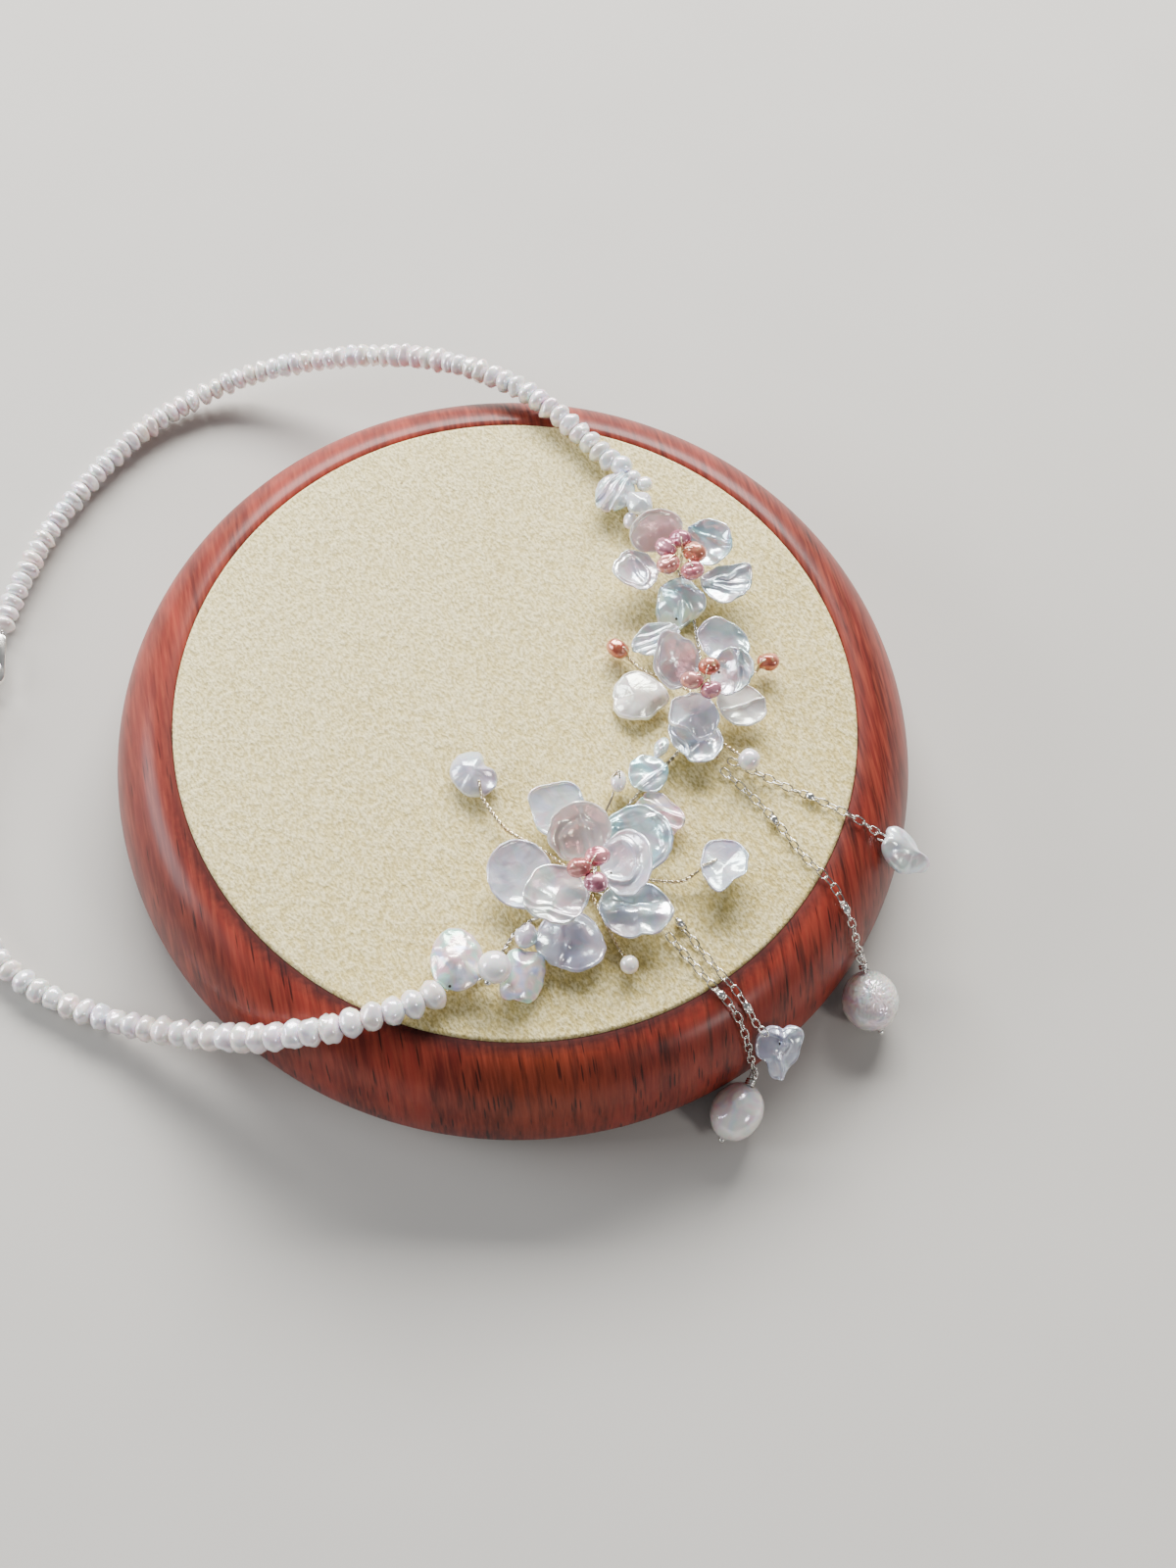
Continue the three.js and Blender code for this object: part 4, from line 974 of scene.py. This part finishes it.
def gather_stamens(flower, hub, stamens, sprigs=()):
    """A flower's dyed pearls, with the twisted stalk and the wires that hold them."""
    node_name = f"{flower}_stamens"
    hub = Vector(hub)
    foot = Vector((hub.x, hub.y, LOW + FRAME_WIRE_DIAMETER / 2 + GAP))
    runs = twisted((foot, hub), STALK_DIAMETER, STALK_TWIST, strands=3)
    for number, stamen in enumerate(stamens, 1):
        shape = stamen_shape(stamen, sum(map(ord, flower)) + number)
        set_down(f"{flower}_stamen_{number}", shape, DYED_TINTS[stamen.tint], "rose_pearl",
                 node_name)
        middle = Vector((stamen.x, stamen.y, stamen.z))
        inward = Vector((hub.x - middle.x, hub.y - middle.y, 0)).normalized() * stamen.wide
        low = middle + inward * 0.60 - Vector((0, 0, stamen.wide * 0.2))
        shoulder = middle + inward * 0.42 + Vector((0, 0, stamen.wide * 0.36))
        top = middle + Vector((0, 0, stamen.wide * 0.38))
        runs.append(smooth_route((low - Vector((0, 0, 0.001)), low, shoulder, top)))
    for sprig in sprigs:
        runs += twisted(sprig, SPRIG_WIRE_DIAMETER, SPRIG_TWIST)
    lay_wire(f"{flower}_stamen_wires", runs, STAMEN_WIRE_DIAMETER, champagne_wire, "silver",
             node_name)


gather_stamens("small_flower", (0.0259, 0.0316, 0.0302), SMALL_STAMENS)
gather_stamens("middle_flower", (0.0317, 0.0060, 0.0315), MIDDLE_STAMENS, SIDE_SPRIGS)
gather_stamens("large_flower", (0.0156, -0.0316, 0.0324), LARGE_STAMENS)

# ---- Four fine chains ----
# Silver cable chain of oval links, each turned nearly a quarter against the last, with a
# small bright bead here and there. They lie over the pad and the rim and hang to the drops.
CHAIN_WIDTH = 0.0015
LINK_LENGTH = 0.00235
LINK_WIRE = 0.00029
LINK_PITCH = LINK_LENGTH - 2 * LINK_WIRE
LINK_CLEARANCE = 0.00015
LINK_ROLL = 38  # degrees to one side and the other, give or take 14
CHAIN_ROUTES = {
    "wing_chain": ((0.0374, -0.0050), (0.0428, -0.0070), (0.0488, -0.0093), (0.0524, -0.0104),
                   (0.0588, -0.0128), (0.0620, -0.0139), (0.0650, -0.0147)),
    "wrinkled_chain": ((0.0364, -0.0069), (0.0413, -0.0108), (0.0465, -0.0156),
                       (0.0520, -0.0218), (0.0549, -0.0242), (0.0573, -0.0262),
                       (0.0598, -0.0292), (0.0618, -0.0314), (0.0632, -0.0330),
                       (0.0649, -0.0336, 0.0104), (0.0658, -0.0334, 0.0076)),
    "star_chain": ((0.0313, -0.0359), (0.0356, -0.0407), (0.0394, -0.0446), (0.0419, -0.0468),
                   (0.0444, -0.0492), (0.0468, -0.0513)),
    "egg_chain": ((0.0296, -0.0384), (0.0342, -0.0430), (0.0384, -0.0470), (0.0414, -0.0494),
                  (0.0436, -0.0516), (0.0450, -0.0534), (0.0462, -0.0548),
                  (0.0474, -0.0560, 0.0096), (0.0477, -0.0562, 0.0070)),
}
CHAIN_BEADS = {  # how far along each chain its beads sit, in metres
    "wing_chain": (0.0159,),
    "wrinkled_chain": (0.0131, 0.0334),
    "star_chain": (0.0006, 0.0188),
    "egg_chain": (0.0140,),
}
BEAD_PROFILE = (  # half of a barrel with a collar at each end: radius and height
    (0, -0.00095), (0.00045, -0.00095), (0.00055, -0.00085), (0.00045, -0.00072),
    (0.00070, -0.00045), (0.00082, 0), (0.00070, 0.00045), (0.00045, 0.00072),
    (0.00055, 0.00085), (0.00045, 0.00095), (0, 0.00095),
)


def rest_height(x, y, half):
    """Height of the middle of a round section of that half width when it lies on the board."""
    out = math.hypot(x, y)
    corners = [(min(out, PAD_RADIUS), PAD_TOP)]
    corners += oval_arc((RIM_INNER_RADIUS, BOARD_WAIST_HEIGHT), BOARD_RADIUS - RIM_INNER_RADIUS,
                        RIM_TOP - BOARD_WAIST_HEIGHT, 0, 90, 90)
    heights = [high + math.sqrt(half ** 2 - (out - corner) ** 2)
               for corner, high in corners if abs(out - corner) <= half]
    return max([half, *heights])


def add_link(shape, middle, along, roll, length=LINK_LENGTH, width=CHAIN_WIDTH, wire=LINK_WIRE):
    """One oval link: a ring bent from round wire, then drawn out along the chain."""
    made = bmesh.ops.create_circle(shape, segments=6, radius=wire / 2)["verts"]
    edges = list({edge for vert in made for edge in vert.link_edges})
    bmesh.ops.rotate(shape, verts=made, cent=(0, 0, 0), matrix=Matrix.Rotation(math.pi / 2, 3, "X"))
    bmesh.ops.translate(shape, verts=made, vec=(width / 2 - wire / 2, 0, 0))
    before = set(shape.verts) - set(made)
    bmesh.ops.spin(shape, geom=made + edges, cent=(0, 0, 0), axis=(0, 0, 1),
                   angle=2 * math.pi, steps=14, use_merge=True)
    link = [vert for vert in shape.verts if vert not in before]
    for vert in link:
        vert.co.y += math.copysign((length - width) / 2, vert.co.y) * min(1, abs(vert.co.y) / 0.0001)
    lie = stand_along(middle, along, "Y", "Z") @ Matrix.Rotation(roll, 4, "Y")
    bmesh.ops.transform(shape, matrix=lie, verts=link)


def set_links(name, links, finish, *nodes):
    """Sets down links as one piece: each has its middle, its direction, its roll and sizes."""
    shape = bmesh.new()
    for link in links:
        add_link(shape, *link)
    bmesh.ops.recalc_face_normals(shape, faces=shape.faces)
    set_down(name, shape, finish, "silver", *nodes)


chain_silver = metal("chain_silver", "e6e3dc", "98958c", 0.16)
for name, rows in CHAIN_ROUTES.items():
    dice = random.Random(name)
    half = CHAIN_WIDTH / 2 + LINK_CLEARANCE
    run = Run([(x, y, high[0] if high else rest_height(x, y, half)) for x, y, *high in rows])
    count = round((run.length - LINK_LENGTH) / LINK_PITCH) + 1
    step = (run.length - LINK_LENGTH) / (count - 1)
    links = [(*run.at(LINK_LENGTH / 2 + number * step),
              math.radians((-LINK_ROLL if number % 2 else LINK_ROLL) + dice.uniform(-14, 14)))
             for number in range(count)]
    set_links(f"{name}_links", links, chain_silver, name)
    for number, distance in enumerate(CHAIN_BEADS[name], 1):
        bead = turned(BEAD_PROFILE, 20)
        bmesh.ops.transform(bead, matrix=stand_along(*run.at(distance)), verts=bead.verts)
        set_down(f"{name}_bead_{number}", bead, silver_wire, "silver", name, crisp=30)

# ---- Four drops ----
# Baroque pearls at the ends of the chains: a wing and a drilled star that lean on the rim,
# a coin with a crumpled skin and a smooth egg that lie on the table on silver head pins.
set_keshi("wing_drop_nacre",
          Keshi(0.0700, -0.0162, 0.0186, 0.0114, 0.0078, 0.0036, 0, -15, -38, "wing", "pearl", 0.0,
                (Welt(12, -0.10, 0.0006, 0.40),)), 121, "wing_drop")
set_keshi("star_drop_nacre",
          Keshi(0.0508, -0.0538, 0.0161, 0.0096, 0.0088, 0.0018, -0.0006, -85, -40, "star", "slate",
                0.35, (Welt(4, -0.12, 0.0008, 0.11), Welt(93, -0.72, 0.0008, 0.15),
                       Ring(-0.05, 0.10, 0.28, 0.0004, 0.10))), 123, "star_drop")

Drop = namedtuple("Drop", "x y wide deep high turn")
WRINKLED_DROP = Drop(0.0674, -0.0394, 0.0102, 0.0110, 0.0098, 13)
EGG_DROP = Drop(0.0455, -0.0619, 0.0090, 0.0106, 0.0088, -25)


def resting_drop(drop, skin):
    """A round baroque pearl lying on the table, its skin raised or sunk by a rule."""
    shape = bmesh.new()
    tint_layer = shape.verts.layers.float.new("tint")
    bmesh.ops.create_uvsphere(shape, u_segments=128, v_segments=72, radius=0.5)
    for vert in shape.verts:
        raised = skin(vert.co * 2)
        across = vert.co.normalized() * raised
        vert.co = (vert.co.x * drop.wide + across.x, vert.co.y * drop.deep + across.y,
                   vert.co.z * drop.high + across.z)
        vert[tint_layer] = 0.3
    lie = (
        Matrix.Translation((drop.x, drop.y, drop.high / 2 + TABLE_GAP))
        @ Matrix.Rotation(math.radians(drop.turn), 4, "Z")
    )
    bmesh.ops.transform(shape, matrix=lie, verts=shape.verts)
    return shape


def crumpled_skin(direction):
    """Wandering creases over one side, drawn out slantwise, as if the pearl dried in folds."""
    spot = Vector(((direction.x + direction.y) * 1.6 + 7.0, (direction.x - direction.y) * 4.2,
                   direction.z * 3.4))
    warp = Vector((noise.noise(spot), noise.noise(spot + Vector((5, 0, 0))), 0)) * 0.6
    creases = abs(noise.noise(spot * 1.5 + warp)) + 0.6 * abs(noise.noise(spot * 3.3 + warp))
    side = 0.35 + 0.65 * max(0.0, min(1.0, 0.5 + direction.dot(Vector((0.8, 0.5, 0.5)))))
    return -0.00022 + 0.00075 * min(creases, 0.35) * side


def egg_skin(direction):
    """Nearly smooth, with two soft flats and a shallow swell."""
    flat_one = max(0.0, direction.dot(Vector((0.45, 0.35, 0.82))) - 0.90)
    flat_two = max(0.0, direction.dot(Vector((-0.55, -0.25, 0.80))) - 0.92)
    return 0.00012 * noise.noise(direction * 1.7) - 0.0022 * flat_one - 0.0020 * flat_two


drop_pearl = pearl_skin("drop_pearl_nacre", "fbf8f3", "f3ece3", 0.38)
set_down("wrinkled_drop_nacre", resting_drop(WRINKLED_DROP, crumpled_skin), drop_pearl,
         "white_pearl", "wrinkled_drop")
set_down("egg_drop_nacre", resting_drop(EGG_DROP, egg_skin), drop_pearl, "white_pearl",
         "egg_drop")

# ---- Head pins and end links of the drops ----
# Each round drop hangs on a silver pin with a ball under it and a wrapped loop above it, and
# a larger link joins the loop to the chain. A loop through its hole holds each flat drop.
PIN_DIAMETER = 0.0005
PIN_BALL = 0.0012
LOOP_RADIUS = 0.0007
WRAP_RADIUS = 0.0007
WRAP_PITCH = 0.0004
LOOP_ROLL = math.radians(70)


def head_pin(top, foot, wraps):
    """A pin from foot to top, wrapped round itself and bent into a loop at the top."""
    top, foot = Vector(top), Vector(foot)
    up = (top - foot).normalized()
    side = up.orthogonal().normalized()
    coil = [top + up * WRAP_PITCH * (step / 16 - wraps)
            + Matrix.Rotation(2 * math.pi * step / 16, 3, up) @ side * WRAP_RADIUS
            for step in range(wraps * 16 + 1)]
    loop = [top + up * LOOP_RADIUS
            - Matrix.Rotation(2 * math.pi * step / 24, 3, side) @ up * LOOP_RADIUS
            for step in range(25)]
    return [[foot, top], coil, loop]


def pin_ball(place):
    """The small ball that stops the drop on its pin."""
    shape = bmesh.new()
    bmesh.ops.create_uvsphere(shape, u_segments=20, v_segments=12, radius=PIN_BALL / 2)
    bmesh.ops.translate(shape, verts=shape.verts, vec=place)
    return shape


PINS = {
    "wrinkled_drop": ((0.0654, -0.0342, 0.0088), (0.0700, -0.0440, 0.0026), 2),
    "egg_drop": ((0.0474, -0.0568, 0.0072), (0.0434, -0.0667, 0.0028), 3),
}
for name, (top, foot, wraps) in PINS.items():
    lay_wire(f"{name}_pin", head_pin(top, foot, wraps), PIN_DIAMETER, silver_wire, "silver", name)
    set_down(f"{name}_pin_ball", pin_ball(foot), silver_wire, "silver", name)

END_LINKS = {  # place, the way it lies, and its length, width and wire
    "wrinkled_chain": ((0.0645, -0.0342, 0.0114), (0.45, -0.15, -0.85), 0.0030, 0.0018, 0.0004),
    "egg_chain": ((0.0476, -0.0561, 0.0094), (0.1, -0.2, -0.9), 0.0026, 0.0017, 0.0004),
    "star_chain": ((0.0476, -0.0520, 0.0196), (0.6, -0.5, -0.5), 0.0026, 0.0020, 0.0004),
    "wing_chain": ((0.0654, -0.0149, 0.0214), (0.9, -0.25, -0.3), 0.0026, 0.0020, 0.0004),
}
for name, (place, lie, *sizes) in END_LINKS.items():
    link = (Vector(place), Vector(lie).normalized(), LOOP_ROLL, *sizes)
    set_links(f"{name}_end_link", [link], silver_wire, name)

set_down("round_pearl_pin_ball", pin_ball((0.0010, -0.0521, 0.0293)), silver_wire, "silver",
         "end_round_pearl")
star_hole = bmesh.new()
add_hole(star_hole, "star_drop_nacre", 0.0507, -0.0532)
set_down("star_drop_hole", star_hole, hole_shadow, "silver_pearl", "star_drop")

# ---- Clasp and ring ----
# A flat silver hook plate at the far string's end, and the round wire ring that it holds at
# the near string's end.
CLASP_X = -0.0989
CLASP_THICKNESS = 0.0014
CLASP_UNDERSIDE = 0.00185
HOOK_Y = 0.0061
HOOK_RADIUS = 0.0025
TAIL_Y = 0.0134
TAIL_RADIUS = 0.0012
EYE_Y = 0.0067
EYE_HALF_WIDTH = 0.0015
EYE_HALF_LENGTH = 0.0023
RING_Y = 0.0031
RING_RADIUS = 0.0022
RING_WIRE_RADIUS = 0.00035
END_LOOP_SIZES = (0.0026, 0.0016, 0.0004)  # length, width and wire

shape = bmesh.new()
for vert in bmesh.ops.create_circle(shape, segments=64, radius=1)["verts"]:
    y, radius = (TAIL_Y, TAIL_RADIUS) if vert.co.y > 0.001 else (HOOK_Y, HOOK_RADIUS)
    vert.co = (CLASP_X + vert.co.x * radius, y + vert.co.y * radius, CLASP_UNDERSIDE)
for vert in bmesh.ops.create_circle(shape, segments=64, radius=1)["verts"]:
    vert.co = (CLASP_X + vert.co.x * EYE_HALF_WIDTH, EYE_Y + vert.co.y * EYE_HALF_LENGTH,
               CLASP_UNDERSIDE)
plate = bmesh.ops.bridge_loops(shape, edges=list(shape.edges))["faces"]
raised = bmesh.ops.extrude_face_region(shape, geom=plate)["geom"]
top = [part for part in raised if isinstance(part, bmesh.types.BMVert)]
bmesh.ops.translate(shape, verts=top, vec=(0, 0, CLASP_THICKNESS))
bmesh.ops.recalc_face_normals(shape, faces=shape.faces)
rims = [edge for edge in shape.edges
        if len(edge.link_faces) == 2 and edge.calc_face_angle(0) > math.radians(60)]
bmesh.ops.bevel(shape, geom=rims, offset=0.0002, offset_type="OFFSET", segments=3, profile=0.5,
                affect="EDGES", material=-1)
set_down("hook_plate", shape, silver_wire, "silver", "clasp", crisp=50)

shape = bmesh.new()
section = bmesh.ops.create_circle(shape, segments=12, radius=RING_WIRE_RADIUS)["verts"]
bmesh.ops.translate(shape, verts=section, vec=(0, RING_RADIUS, 0))
bmesh.ops.spin(shape, geom=list(shape.verts) + list(shape.edges), cent=(0, 0, 0),
               axis=(1, 0, 0), angle=2 * math.pi, steps=48, use_merge=True)
bmesh.ops.translate(shape, verts=shape.verts,
                    vec=(CLASP_X, RING_Y, RING_RADIUS + RING_WIRE_RADIUS + TABLE_GAP))
bmesh.ops.recalc_face_normals(shape, faces=shape.faces)
set_down("wire_ring", shape, silver_wire, "silver", "clasp_ring")

end_loops = [(Vector((CLASP_X, y, ON_TABLE)), Vector((0, 1, 0)), math.radians(90), *END_LOOP_SIZES)
             for y in (0.0006, 0.0151)]
set_links("string_end_loops", end_loops, silver_wire, "clasp", "clasp_ring")
